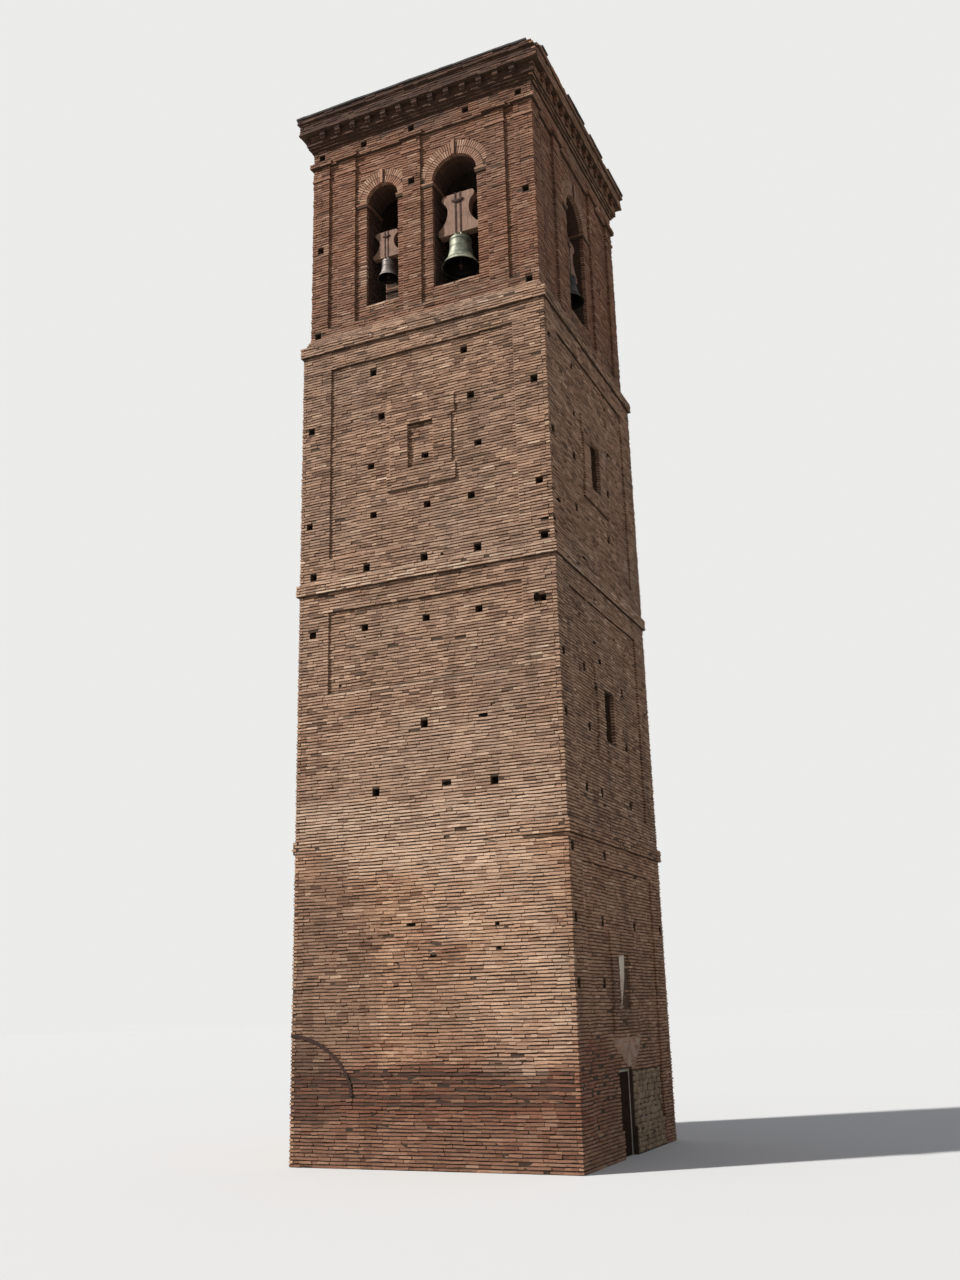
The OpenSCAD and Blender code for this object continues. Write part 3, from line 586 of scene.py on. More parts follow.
@dataclass(frozen=True)
class LimeCore(Finish):
    """Old lime and sand mortar behind the bricks, and plain coursed brick on the inner walls."""

    joint: str = "#5f4938"
    deep: str = "#38291f"
    inner_brick: str = "#5f4839"
    inner_dark: str = "#47352a"
    inner_joint: str = "#6d5b4b"
    inside_of: float = 2.36

    def material(self) -> Any:
        """Brown crumbling joint outside; 290 by 72 mm courses where the wall faces a room.

        Returns:
            The material.
        """
        material, tree, shader, place = self.blank(0.95)
        x, y, z = put(tree, "ShaderNodeSeparateXYZ", {0: place}).outputs
        # grit of about 0.1 m down to a few millimetres
        grit = put(tree, "ShaderNodeTexNoise", {"Vector": place, "Scale": 9.0, "Detail": 6.0})
        # joints washed out and dark with damp up to 2 m above the ground
        low = put(tree, "ShaderNodeMapRange", {"Value": z, 1: 2.3, 2: 1.7, 3: 0.0, 4: 0.75})
        along = put(tree, "ShaderNodeMath", {0: x, 1: y}, operation="ADD")
        courses = {
            "Vector": put(tree, "ShaderNodeCombineXYZ", {0: along, 1: z}),
            "Color1": self.inner_brick,
            "Color2": self.inner_dark,
            "Mortar": self.inner_joint,
            "Scale": 1.0,
            "Mortar Size": 0.012,
            "Brick Width": 0.29,
            "Row Height": COURSE,
        }
        course = put(tree, "ShaderNodeTexBrick", courses)
        east = put(tree, "ShaderNodeMath", {0: x}, operation="ABSOLUTE")
        north = put(tree, "ShaderNodeMath", {0: y}, operation="ABSOLUTE")
        far = put(tree, "ShaderNodeMath", {0: east, 1: north}, operation="MAXIMUM")
        within = put(tree, "ShaderNodeMath", {0: far, 1: self.inside_of}, operation="LESS_THAN")
        body = self.coats(tree, self.deep, (grit, self.joint), (low, self.deep), (within, course))
        self.surface(tree, shader, body, grit, 0.8, 0.012)
        return material


@dataclass(frozen=True)
class Mottled(Finish):
    """Matt worn surface of two colours in clouds, with a fine grain: plaster, stone, tile."""

    light: str = "#cbb596"
    dark: str = "#a08668"
    stain: str = "#6f5a45"
    cloud_scale: float = 2.0
    grain_scale: float = 60.0
    grain: float = 0.004
    roughness: float = 0.9
    ior: float = 1.5

    def material(self) -> Any:
        """Clouds between light and dark, blots of stain and a grain in the bump.

        Returns:
            The material.
        """
        material, tree, shader, place = self.blank(self.roughness, ior=self.ior)
        tone = put(tree, "ShaderNodeAttribute", attribute_name="tone").outputs["Fac"]
        size = self.cloud_scale
        body = self.coats(
            tree,
            self.dark,
            (self.clouds(tree, place, size, 6.0, 0.35, 0.65), self.light),
            # each tile or stone its own share of stain
            (put(tree, "ShaderNodeMapRange", {"Value": tone, 3: -0.12, 4: 0.3}), self.stain),
            (self.clouds(tree, place, 3.1 * size, 8.0, 0.55, 0.75, 0.7, 0.7), self.stain),
        )
        rub = {"Vector": place, "Scale": self.grain_scale, "Detail": 5.0}
        self.surface(tree, shader, body, put(tree, "ShaderNodeTexNoise", rub), 0.7, self.grain)
        return material


@dataclass(frozen=True)
class SawnWood(Finish):
    """Weathered sawn timber: grain 8 to 12 mm wide drawn out along one axis, dry and matt."""

    light: str = "#a5826f"
    dark: str = "#6f5243"
    stain: str = "#5f4a3b"
    along: tuple[float, float, float] = (90.0, 90.0, 4.0)
    roughness: float = 0.8
    ior: float = 1.5

    def material(self) -> Any:
        """Long grain with darker checks and soot in blots.

        Returns:
            The material.
        """
        material, tree, shader, place = self.blank(self.roughness, ior=self.ior)
        drawn = put(tree, "ShaderNodeMapping", {"Vector": place, "Scale": self.along})
        fibre = {"Vector": drawn, "Scale": 1.0, "Detail": 5.0, "Roughness": 0.6}
        grain = put(tree, "ShaderNodeTexNoise", fibre)
        checks = put(tree, "ShaderNodeMapRange", {"Value": grain, 1: 0.35, 2: 0.65, 3: 0.0, 4: 1.0})
        blots = self.clouds(tree, place, 5.0, 6.0, 0.52, 0.72, 0.65)
        body = self.coats(tree, self.dark, (checks, self.light), (blots, self.stain))
        self.surface(tree, shader, body, grain, 0.5, 0.003)
        return material


@dataclass(frozen=True)
class OldMetal(Finish):
    """Metal under a patchy weather film: bare metal shines through where the film is thin."""

    film: str = "#949d90"
    film_dark: str = "#566056"
    bare: str = "#6e6553"
    # near-black painted shade, laid where a bell's attribute asks
    soot: str = "#17140f"
    roughness: float = 0.55
    metallic: float = 0.5
    cloud_scale: float = 4.0

    def material(self) -> Any:
        """Film in clouds with runs drawn downwards, near-black painted shade where the attribute asks,
        a fine cast grain.

        Returns:
            The material.
        """
        material, tree, shader, place = self.blank(self.roughness, self.metallic)
        # runs about 70 mm wide and 0.6 m long
        down = put(tree, "ShaderNodeMapping", {"Vector": place, "Scale": (14.0, 14.0, 1.6)})
        body = self.coats(
            tree,
            self.film_dark,
            (self.clouds(tree, place, self.cloud_scale, 6.0, 0.35, 0.65), self.film),
            (self.clouds(tree, down, 1.0, 4.0, 0.55, 0.7, 0.7), self.bare),
            (put(tree, "ShaderNodeAttribute", attribute_name="soot").outputs["Fac"], self.soot),
        )
        # sand grain of the casting, drawn 11 mm wide so that it shows
        cast = put(tree, "ShaderNodeTexNoise", {"Vector": place, "Scale": 90.0, "Detail": 4.0})
        self.surface(tree, shader, body, cast, 0.35, 0.002)
        return material


@dataclass(frozen=True)
class Palette:
    """All finishes of the tower."""

    # brown brick of many tones under grey bloom
    shaft: Finish = FiredBrick("fired_brick_shaft", "brick")
    # paler, pinker brick of the re-faced foot, reddish near the ground
    lower: Finish = FiredBrick(
        "fired_brick_lower", "brick", ("#634635", "#8e6851", "#b48d72", "#cda486", "#eac6a9"),
        grey="#957c68", red="#8a4f38", lime="#e4c5ac", grey_share=0.45,
    )
    # redder and darker brick; its dark colour also paints shade on the arch reveals and soffits and
    # under the cornice
    belfry: Finish = FiredBrick(
        "fired_brick_belfry", "belfry_brick",
        ("#55382b", "#79513d", "#996c54", "#ae866e", "#cda78f"),
        grey="#7d685c", grime_and_shade="#33211d", grey_share=0.35,
    )
    # dull brown joints that make every course stand out
    core: Finish = LimeCore("lime_mortar_core", "brick")
    # nearly white, the brightest spot of the shaded side
    plaster: Finish = Mottled("lime_plaster", "plaster", "#f4e9dc", "#d9c3af")
    # grey-brown render that blurs the courses over the doorway
    smear: Finish = Mottled(
        "weathered_render", "plaster", "#bfa491", "#9a7c69", "#745b4b",
        cloud_scale=4.0, grain_scale=24.0, grain=0.012,
    )
    # dark torn line, rough and matt
    scar: Finish = Mottled(
        "torn_mortar_line", "brick", "#40281f", "#2a1a13", "#1f130f", grain=0.01
    )
    # grey-yellow field stones, each its own tone
    rubble: Finish = Mottled(
        "rubble_stone", "brick", "#ad977d", "#8a745c", "#56443a",
        cloud_scale=3.0, grain_scale=30.0, grain=0.012,
    )
    # low-fired clay with grey stains, each tile its own tone
    tile: Finish = Mottled(
        "clay_roof_tile", "roof_tile", "#b98d72", "#8f6752", "#6a6153",
        cloud_scale=1.6, grain_scale=80.0,
    )
    # nearly black edge against the sky
    slab: Finish = Mottled(
        "dark_cover_slab", "roof_tile", "#4b4745", "#302d2c", "#211f1e",
        cloud_scale=2.5, grain_scale=40.0,
    )
    # pinkish dry timber with long grain
    yoke: Finish = SawnWood("sawn_yoke_wood", "yoke_wood")
    # painted shade: black linings for the holes, without any shine
    hollow: Finish = Mottled(
        "sooty_hollow", "brick", "#1c1410", "#110c0a", "#0b0807",
        grain=0.003, roughness=1.0, ior=1.08,
    )
    # pale limewash worn off along the grain
    post: Finish = SawnWood(
        "limewashed_door_post", "old_timber", "#ddd6ca", "#bcb4a8", "#8b8378"
    )
    # silvery boards
    timber: Finish = SawnWood("grey_old_timber", "old_timber", "#a89c8c", "#7a6d5f", "#463c32")
    # nearly black tarred boards without shine
    door: Finish = SawnWood(
        "tarred_door_board", "door_wood", "#43332a", "#2a1f19", "#1a1411",
        roughness=1.0, ior=1.12,
    )
    # dull green film; the great bell's is paler, the small one's dusty, the side one's dark
    bronze: Finish = OldMetal("green_bell_bronze", "bell_bronze")
    bells: dict[str, Finish] = field(
        default_factory=lambda: {
            "great_bell": OldMetal("pale_green_bell_bronze", "bell_bronze", "#b3b5a2", "#5d6659"),
            "small_bell": OldMetal("dusty_bell_bronze", "bell_bronze", "#a89f9a", "#6c6462"),
            "side_bell": OldMetal(
                "dark_bell_bronze", "bell_bronze", "#4a4844", "#2f2d2b", "#3c342c",
                roughness=0.85, metallic=0.15,
            ),
        }
    )
    # brown rust, hardly metallic
    iron: Finish = OldMetal(
        "forged_iron", "iron", "#4c3229", "#2c1f1a", "#5e3a28",
        roughness=0.9, metallic=0.05, cloud_scale=12.0,
    )

    def paint_frame(self, nodes: dict[str, Any]) -> None:
        """Gives every CAD node its finish, also those that a modelled piece stands for.

        Args:
            nodes: The CAD nodes by name.
        """
        masonry = ("wall", "course", "ledge", "entablature", "cornice", "infill")
        kinds = dict.fromkeys(masonry, self.core) | {
            "floor": self.timber,
            "deck": self.timber,
            "frame": self.post,
            "tiles": self.tile,
            "leaf": self.door,
            "bell": self.bronze,
            "yoke": self.yoke,
        }
        for name, obj in nodes.items():
            last = name.rsplit("_", 1)[-1]
            kind = "wall" if "_wall" in name else last
            obj.data.materials.clear()
            obj.data.materials.append(kinds.get(kind, self.iron).made())


def dress(obj: Any, finish: Finish, body: str, *nodes: str) -> Any:
    """Gives a finished piece its material and its place in the model.

    Args:
        obj: The piece.
        finish: Its finish.
        body: CAD body that carries it.
        nodes: CAD nodes that it stands for.

    Returns:
        The piece.
    """
    obj.data.materials.clear()
    obj.data.materials.append(finish.made())
    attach(obj, body)
    if nodes:
        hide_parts(*nodes)
    LOG.info("%s: %d faces on %s", obj.name, len(obj.data.polygons), body)
    return obj


# Masonry


@dataclass(frozen=True)
class Face:
    """Upright plane to build on: u runs along it, out stands off it."""

    x: float
    y: float
    turn: float

    def spot(self, u: float, out: float, z: float) -> Vector:
        """Point of the plane's own coordinates in the row frame."""
        c, s = math.cos(self.turn), math.sin(self.turn)
        return Vector((self.x + u * c + out * s, self.y + u * s - out * c, z))


@dataclass
class Pile:
    """Blocks waiting to be laid, with the size, turn, tone and wear of each."""

    rng: random.Random = field(default_factory=lambda: random.Random(0))  # for uneven work
    spots: list[Vector] = field(default_factory=list)
    sizes: list[float] = field(default_factory=list)
    turns: list[float] = field(default_factory=list)
    tones: list[float] = field(default_factory=list)
    wears: list[float] = field(default_factory=list)

    def add(
        self, spot: Vector, size: Sequence[float], turn: Sequence[float], tone: float,
        wear: Sequence[float] = (0.0, 0.0, 0.0),
    ) -> None:
        """Puts one block on the pile.

        Args:
            spot: Its middle.
            size: Its length, depth and height.
            turn: Its turns about X, Y and Z.
            tone: Its tone, from 0 dark to 1 light.
            wear: Shares of darkening (dirt, and painted shade on reveals, soffits and cornice), of
                redness and of lime on it.
        """
        self.spots.append(spot)
        self.sizes.extend(size)
        self.turns.extend(turn)
        self.tones.append(min(1.0, max(0.0, tone)))
        self.wears.extend(wear)


class Mason:
    """Lays piles of blocks: each pile becomes one joined mesh of a block modelled once."""

    def __init__(self) -> None:
        """Models the blocks."""
        self.brick = self._brick()
        self.wedge = self._wedge()
        self.stone = self._stone()
        self.tile = self._tile()
        self.ways: dict[str, Any] = {}

    def _brick(self) -> Any:
        """Unit brick whose front arrises have worn round.

        Returns:
            The block.
        """
        obj = start(bpy.ops.mesh.primitive_cube_add, "brick_block", size=1)
        with editing(obj):
            pick(obj, "FACE", lambda f: f.normal.y < -0.5)
            bpy.ops.transform.resize(value=(0.997, 1, 0.9))
        return obj

    def _wedge(self) -> Any:
        """Unit arch brick, thinner at its inner end (-X).

        Returns:
            The block.
        """
        obj = start(bpy.ops.mesh.primitive_cube_add, "wedge_block", size=1)
        with editing(obj):
            pick(obj, "FACE", lambda f: f.normal.x < -0.5)
            bpy.ops.transform.resize(value=(1, 1, 0.84))
            pick(obj, "FACE", lambda f: f.normal.y < -0.5)
            bpy.ops.transform.resize(value=(0.98, 1, 0.9))
        return obj

    def _stone(self) -> Any:
        """Unit rubble stone: a rounded lump with a flattened front.

        Returns:
            The block.
        """
        obj = start(bpy.ops.mesh.primitive_ico_sphere_add, "stone_block", subdivisions=2, radius=0.55)
        with editing(obj):
            pick(obj, "VERT", lambda v: v.co.y < -0.2)
            bpy.ops.transform.resize(value=(1.2, 0.5, 1.2))
        return obj

    def _tile(self) -> Any:
        """Barrel tile, unit long along Y and unit wide, crown up, narrower at its upper end.

        Returns:
            The block.
        """
        obj = start(
            bpy.ops.mesh.primitive_cylinder_add, "tile_block", vertices=14, radius=0.5, depth=1,
            end_fill_type="NOTHING", rotation=(math.pi / 2, 0, 0),
        )
        settle(obj)
        with editing(obj):
            pick(obj, "FACE", lambda f: f.center.z < -0.01)
            bpy.ops.mesh.delete(type="FACE")
            pick(obj, "VERT", lambda v: v.co.y > 0.4)
            bpy.ops.transform.resize(value=(0.8, 1, 0.8))
        return finish_with(obj, "SOLIDIFY", thickness=0.07, offset=-1)

    def way(self, block: Any, ragged: float, grain: float) -> Any:
        """Node group that sets the block on every point, turned and sized, then roughens it.

        Args:
            block: The block to lay.
            ragged: Greatest shift of a corner.
            grain: Noise scale of the shift.

        Returns:
            The node group, made once for each block.
        """
        if block.name in self.ways:
            return self.ways[block.name]
        tree = bpy.data.node_groups.new("lay_" + block.name, "GeometryNodeTree")
        for end in ("INPUT", "OUTPUT"):
            tree.interface.new_socket("Geometry", in_out=end, socket_type="NodeSocketGeometry")
        size, turn = (
            put(tree, "GeometryNodeInputNamedAttribute", {"Name": label}, data_type="FLOAT_VECTOR")
            for label in ("size", "turn")
        )
        model = put(tree, "GeometryNodeObjectInfo", {"Object": block})
        copies = {
            "Points": put(tree, "NodeGroupInput"),
            "Instance": model.outputs["Geometry"],
            "Rotation": put(tree, "FunctionNodeEulerToRotation", {0: turn.outputs[0]}),
            "Scale": size.outputs[0],
        }
        laid = put(tree, "GeometryNodeInstanceOnPoints", copies)
        real = put(tree, "GeometryNodeRealizeInstances", {"Geometry": laid})
        rough = put(tree, "ShaderNodeTexNoise", {"Scale": grain, "Detail": 1.0})
        centred = {0: rough.outputs["Color"], 1: (0.5, 0.5, 0.5)}
        shift = put(tree, "ShaderNodeVectorMath", centred, operation="SUBTRACT")
        shift = put(tree, "ShaderNodeVectorMath", {0: shift, "Scale": ragged}, operation="SCALE")
        moved = put(tree, "GeometryNodeSetPosition", {"Geometry": real, "Offset": shift})
        put(tree, "NodeGroupOutput", {0: moved})
        self.ways[block.name] = tree
        return tree

    def lay(self, name: str, pile: Pile, block: Any, ragged: float, grain: float = 9.0) -> Any:
        """Lays a pile.

        Args:
            name: Name of the joined piece.
            pile: The blocks.
            block: Which block.
            ragged: Greatest shift of a corner.
            grain: Noise scale of the shift.

        Returns:
            One closed mesh of all blocks.
        """
        mesh = bpy.data.meshes.new(name)
        mesh.from_pydata(pile.spots, [], [])
        for label, kind, entry, values in (
            ("size", "FLOAT_VECTOR", "vector", pile.sizes),
            ("turn", "FLOAT_VECTOR", "vector", pile.turns),
            ("tone", "FLOAT", "value", pile.tones),
            ("wear", "FLOAT_VECTOR", "vector", pile.wears),
        ):
            mesh.attributes.new(label, kind, "POINT").data.foreach_set(entry, values)
        obj = bpy.data.objects.new(name, mesh)
        bpy.context.scene.collection.objects.link(obj)
        finish_with(obj, "NODES", node_group=self.way(block, ragged, grain))
        for label in ("size", "turn"):
            spare = obj.data.attributes.get(label)
            if spare:
                obj.data.attributes.remove(spare)
        return obj

    def put_away(self) -> None:
        """Removes the blocks once everything is laid."""
        for block in (self.brick, self.wedge, self.stone, self.tile):
            bpy.data.objects.remove(block)


@dataclass(frozen=True)
class Mark:
    """Weathering on a face: an ellipse whose edge wanders."""

    kind: Weather
    u: float
    z: float
    ru: float
    rz: float
    strength: float = 1.0

    def at(self, u: float, z: float) -> float:
        """How strongly the mark acts at a point.

        Args:
            u: Place along the face.
            z: Height.

        Returns:
            Its strength there, from 0 up to its own.
        """
        reach = math.hypot((u - self.u) / self.ru, (z - self.z) / self.rz)
        reach += 0.35 * noise.noise(Vector((u * 1.7, z * 2.3, self.u)))
        return self.strength * min(1.0, max(0.0, (1.15 - reach) / 0.4))


@dataclass(frozen=True)
class Region:
    """Rectangle of a face that lies at its own plane; without a plane nothing is laid there."""

    u0: float
    u1: float
    z0: float
    z1: float
    out: float | None = None

    def span(self, z: float) -> tuple[float, float] | None:
        """Its two ends at a height, or None."""
        return (self.u0, self.u1) if self.z0 < z < self.z1 else None


@dataclass(frozen=True)
class RingRegion(Region):
    """The part of a bay that the ring of an arch fills, above its springing."""

    centre: float = 0.0
    radius: float = 1.0

    def span(self, z: float) -> tuple[float, float] | None:
        """Its two ends at a height, kept inside the bay.

        Args:
            z: The height.

        Returns:
            The ends, or None above and below it.
        """
        rise = z - SPRING
        if not 0 < rise < self.radius:
            return None
        half = math.sqrt(self.radius**2 - rise**2)
        return max(self.u0, self.centre - half), min(self.u1, self.centre + half)


@dataclass
class Brickwork:
    """Courses of brick on one face."""

    face: Face
    z0: float
    z1: float
    regions: list[Region]
    marks: Sequence[Mark] = ()
    corner: bool | None = None  # whether even courses cover the corner; None for no corner
    seed: int = 1
    tone: float = 0.5
    course: float = COURSE
    worn: float = 0.0
    crust: float = 0.0  # how far mortar smeared over the joints closes them

    def runs(self, z: float) -> list[tuple[float, float, float]]:
        """Stretches of one course.

        Args:
            z: Height of the middle of the course.

        Returns:
            Both ends and the plane of each stretch.
        """
        spans = [(r, s) for r in self.regions if (s := r.span(z)) and s[1] > s[0]]
        cuts = sorted({round(v, 5) for _, s in spans for v in s})
        found: list[tuple[float, float, float | None]] = []
        for a, b in zip(cuts, cuts[1:]):
            middle = (a + b) / 2
            over = [r.out for r, s in spans if s[0] < middle < s[1]]
            plane = over[-1] if over else None
            if found and found[-1][2] == plane and abs(found[-1][1] - a) < 1e-6:
                found[-1] = (found[-1][0], b, plane)
            else:
                found.append((a, b, plane))
        result = []
        for i, (a, b, plane) in enumerate(found):
            if plane is None:
                continue
            left = found[i - 1][2] if i else None
            right = found[i + 1][2] if i + 1 < len(found) else None
            if i:
                a += SLACK if left is not None and left > plane else -LAP
            if i + 1 < len(found):
                b += -SLACK if right is not None and right > plane else LAP
            result.append((a, b, plane))
        return result

    def weather(self, u: float, z: float) -> dict[Weather, float]:
        """Strength of each kind of weathering at a point.

        Args:
            u: Place along the face.
            z: Height.

        Returns:
            The strength by kind.
        """
        here = dict.fromkeys(Weather, 0.0)
        for mark in self.marks:
            here[mark.kind] = max(here[mark.kind], mark.at(u, z))
        return here

    def pile(self, pile: Pile) -> Pile:
        """Sets out every brick.

        Args:
            pile: The pile that gets them.

        Returns:
            The same pile.
        """
        rng = random.Random(self.seed)
        count = max(1, round((self.z1 - self.z0) / self.course))
        step = (self.z1 - self.z0) / count
        for k in range(count):
            z = self.z0 + (k + 0.5) * step
            runs = self.runs(z)
            for i, (a, b, plane) in enumerate(runs):
                if self.corner is not None:
                    covers = (k % 2 == 0) == self.corner
                    reach = PROUD if covers else -BED
                    a = a - reach if i == 0 else a
                    b = b + reach if i == len(runs) - 1 else b
                self._course(pile, rng, k, z, step, a, b, plane)
        return pile

    def _course(
        self, pile: Pile, rng: random.Random, k: int, z: float, step: float, a: float, b: float,
        plane: float,
    ) -> None:
        """Lays one stretch of one course.

        Args:
            pile: The pile that gets the bricks.
            rng: Seeded random source.
            k: Number of the course.
            z: Height of its middle.
            step: Its height with the bed joint.
            a: Start of the stretch.
            b: End of the stretch.
            plane: Plane of the wall there.
        """
        u = a
        first = True
        while b - u > SHORTEST:
            long = STRETCHER if rng.random() < STRETCHERS else HEADER
            if first and k % 2:
                long = HEADER
            first = False
            end = u + long + rng.uniform(-0.012, 0.012)
            if b - end < CLOSER:
                end = b
            self._set(pile, rng, u, end, z, step, plane)
            u = end + JOINT * rng.random()

    def _set(
        self, pile: Pile, rng: random.Random, u: float, end: float, z: float, step: float,
        plane: float,
    ) -> None:
        """Sets one brick, unless it has dropped out.

        Args:
            pile: The pile that gets it.
            rng: Seeded random source.
            u: Its left end.
            end: Its right end.
            z: Height of its middle.
            step: Height of the course with the bed joint.
            plane: Plane of the wall there.
        """
        middle = (u + end) / 2
        here = self.weather(middle, z)
        wear = min(1.0, self.worn + here[Weather.WORN])
        if rng.random() <= 0.001 + 0.04 * wear**2 + 0.95 * here[Weather.GONE]:
            return
        proud = PROUD + rng.uniform(-0.012, 0.010) - 0.018 * wear * rng.random()
        # each brick its own tone, drifting in patches half a metre long
        tone = rng.gauss(self.tone, 0.15)
        tone += 0.17 * noise.noise(Vector((middle * 2.1, z * 4.3, self.seed)))
        # beds wander by a centimetre or two, but lie level on the ground
        sag = 0.018 * noise.noise(Vector((middle * 0.9, z * 1.1, 3.1)))
        sag += 0.011 * noise.noise(Vector((middle * 3.7, z * 2.3, 8.3))) * self.crust
        sag *= min(1.0, z)
        # smeared mortar makes a brick look taller and paler
        smear = 0.35 + 1.7 * noise.noise(Vector((middle * 1.1, z * 2.4, 5.2)))
        smear = self.crust * min(1.0, max(0.0, smear))
        high = BRICK_H * step / COURSE + rng.uniform(-0.006, 0.005) - 0.006 * wear
        high += 0.017 * smear * rng.random()
        tone += 0.1 * smear * rng.random()
        tilt = math.radians(rng.gauss(0, 0.5 + 1.1 * wear))
        pile.add(
            self.face.spot(middle, plane + proud - BED / 2, z + sag),
            (end - u, BED, high),
            (rng.gauss(0, 0.01), tilt, self.face.turn + rng.gauss(0, 0.006 + 0.02 * wear)),
            tone,
            (
                # darkening: dirt, and painted shade where the marks sit on reveals and cornice
                min(0.85, here[Weather.DARK] * rng.uniform(0.5, 1.0)),
                here[Weather.RED] * rng.uniform(0.6, 1.0),
                here[Weather.PALE] * rng.uniform(0.2, 0.9),
            ),
        )


@dataclass
class Storey:
    """One storey of the shaft with its recessed fields, window surrounds and putlog holes."""

    name: str
    z0: float
    z1: float
    sill: float
    window_h: float
    tall_fields: Sequence[Side]
    open_windows: Sequence[Side]
    blind_windows: Sequence[Side]
    short_field_z: float | None = None
    blind_notch: float = 0.0
    holes: dict[Side, list[Region]] = field(default_factory=dict)
    extra: dict[Side, list[Region]] = field(default_factory=dict)
    marks: dict[Side, list[Mark]] = field(default_factory=dict)
    tone: float = 0.5
    crust: float = 0.5
    plinth: float = 0.57  # plain wall below a field
    frieze: float = 0.5  # plain wall above a field
    surround: float = 0.91  # half width of a window's raised surround
    waist: float = 0.82  # the same beside the window
    apron: float = 0.43  # height of the surround below the window
    hood: float = 0.46  # the same above it

    def regions(self, side: Side) -> list[Region]:
        """Planes of one face, later ones over earlier ones.

        Args:
            side: The face.

        Returns:
            The planes.
        """
        found = [Region(-HALF, HALF, self.z0 - 1, self.z1 + 1, HALF)]
        empty = [Region(u - w, u + w, z - h, z + h) for u, z, w, h, _ in FALLEN.get(side, ())]
        foot, head = self.z0 + self.plinth, self.z1 - self.frieze
        low = self.z0 + self.sill
        top = low + self.window_h
        if side in self.tall_fields:
            found.append(Region(-PANEL, PANEL, foot, head, FIELD))
            found.append(Region(-self.surround, self.surround, low - self.apron, low, HALF))
            found.append(Region(-self.waist, self.waist, low, top, HALF))
            found.append(Region(-self.surround, self.surround, top, top + self.hood, HALF))
        elif self.short_field_z is not None and side is Side.FRONT:
            found.append(Region(-PANEL, PANEL, self.short_field_z, head, FIELD))
        if side in self.open_windows:
            found.append(Region(-WINDOW, WINDOW, low, top))
        if side in self.blind_windows:
            notch = self.blind_notch
            found.append(Region(-WINDOW, WINDOW, low + notch, top - notch, BLIND))
        return found + self.extra.get(side, []) + self.holes.get(side, []) + empty

    def build(self, mason: Mason, finish: Finish) -> None:
        """Lays the four faces, one piece each.

        Args:
            mason: Lays the blocks.
            finish: Finish of the bricks.
        """
        for side in Side:
            seed = 40 * side.value + round(self.z0 * 7)
            pile = Brickwork(
                side.face, self.z0, self.z1, self.regions(side), self.marks.get(side, ()),
                side.runs_to_corner, seed, self.tone, crust=self.crust,
            ).pile(Pile())
            if side in self.open_windows:
                low = self.z0 + self.sill
                # painted shade: a dark mark over both window reveals
                soot = (2.7, low, 2, 9, 1.6)
                Reveals(
                    side, 0.0, WINDOW, low, low + self.window_h, WALL_IN, HALF - 0.1, 0.3, soot
                ).pile(pile, seed)
            name = f"{self.name}_{side.name.lower()}_bricks"
            dress(mason.lay(name, pile, mason.brick, 0.03), finish, "tower")


def reveal(hand: int, inner: float, outer: float) -> tuple[float, float]:
    """Span of a reveal along its own plane, between two distances from the axis."""
    return (inner, outer) if hand > 0 else (-outer, -inner)


def jamb_face(side: Side, u: float, hand: int) -> Face:
    """Plane of a reveal that looks across the opening.

    Args:
        side: Face that the opening is in.
        u: Where the reveal stands along it.
        hand: -1 for the left reveal, 1 for the right one.

    Returns:
        The plane; along it u is the distance from the axis, negative on the left reveal.
    """
    spot = side.face.spot(u, 0, 0)
    return Face(spot.x, spot.y, side.turn - hand * math.pi / 2)


@dataclass(frozen=True)
class Reveals:
    """The two brick sides of an opening, from near the wall's inner face to near its outer one."""

    side: Side
    u: float  # middle of the opening
    half: float
    low: float
    high: float
    inner: float
    outer: float
    tone: float
    soot: tuple[float, float, float, float, float]  # place, half sizes and strength of its dark mark, painted shade on the reveals

    def pile(self, pile: Pile, seed: int) -> None:
        """Sets out both.

        Args:
            pile: The pile that gets the bricks.
            seed: Seed of their random sources.
        """
        # painted shade laid over both reveals
        out, *rest = self.soot
        for hand in (-1, 1):
            face = jamb_face(self.side, self.u + hand * self.half, hand)
            plane = Region(*reveal(hand, self.inner, self.outer), 0, ABOVE, -0.004)
            Brickwork(
                face, self.low, self.high, [plane], marks(Weather.DARK, (hand * out, *rest)),
                seed=seed + hand, tone=self.tone,
            ).pile(pile)


@dataclass
class Band:
    """A few courses that run right round the tower at planes of their own."""

    name: str
    z0: float
    outs: Sequence[float]
    course: float = COURSE
    ends: dict[Side, tuple[float, float]] = field(default_factory=dict)
    regions: dict[Side, list[Region]] = field(default_factory=dict)
    marks: dict[Side, list[Mark]] = field(default_factory=dict)
    tone: float = 0.5
    worn: float = 0.0

    def build(self, mason: Mason, finish: Finish) -> None:
        """Lays all four sides as one piece.

        Args:
            mason: Lays the blocks.
            finish: Finish of the bricks.
        """
        pile = Pile()
        for side in Side:
            for k, out in enumerate(self.outs):
                z = self.z0 + k * self.course
                ends = self.ends.get(side, (-out, out))
                regions = [Region(*ends, 0, ABOVE, out), *self.regions.get(side, [])]
                covers = side.runs_to_corner == (k % 2 == 0)
                seed = 900 + 31 * side.value + k + round(self.z0 * 3)
                Brickwork(
                    side.face, z, z + self.course, regions, self.marks.get(side, ()), covers, seed,
                    self.tone, worn=self.worn,
                ).pile(pile)
        dress(mason.lay(self.name, pile, mason.brick, 0.008), finish, "tower")


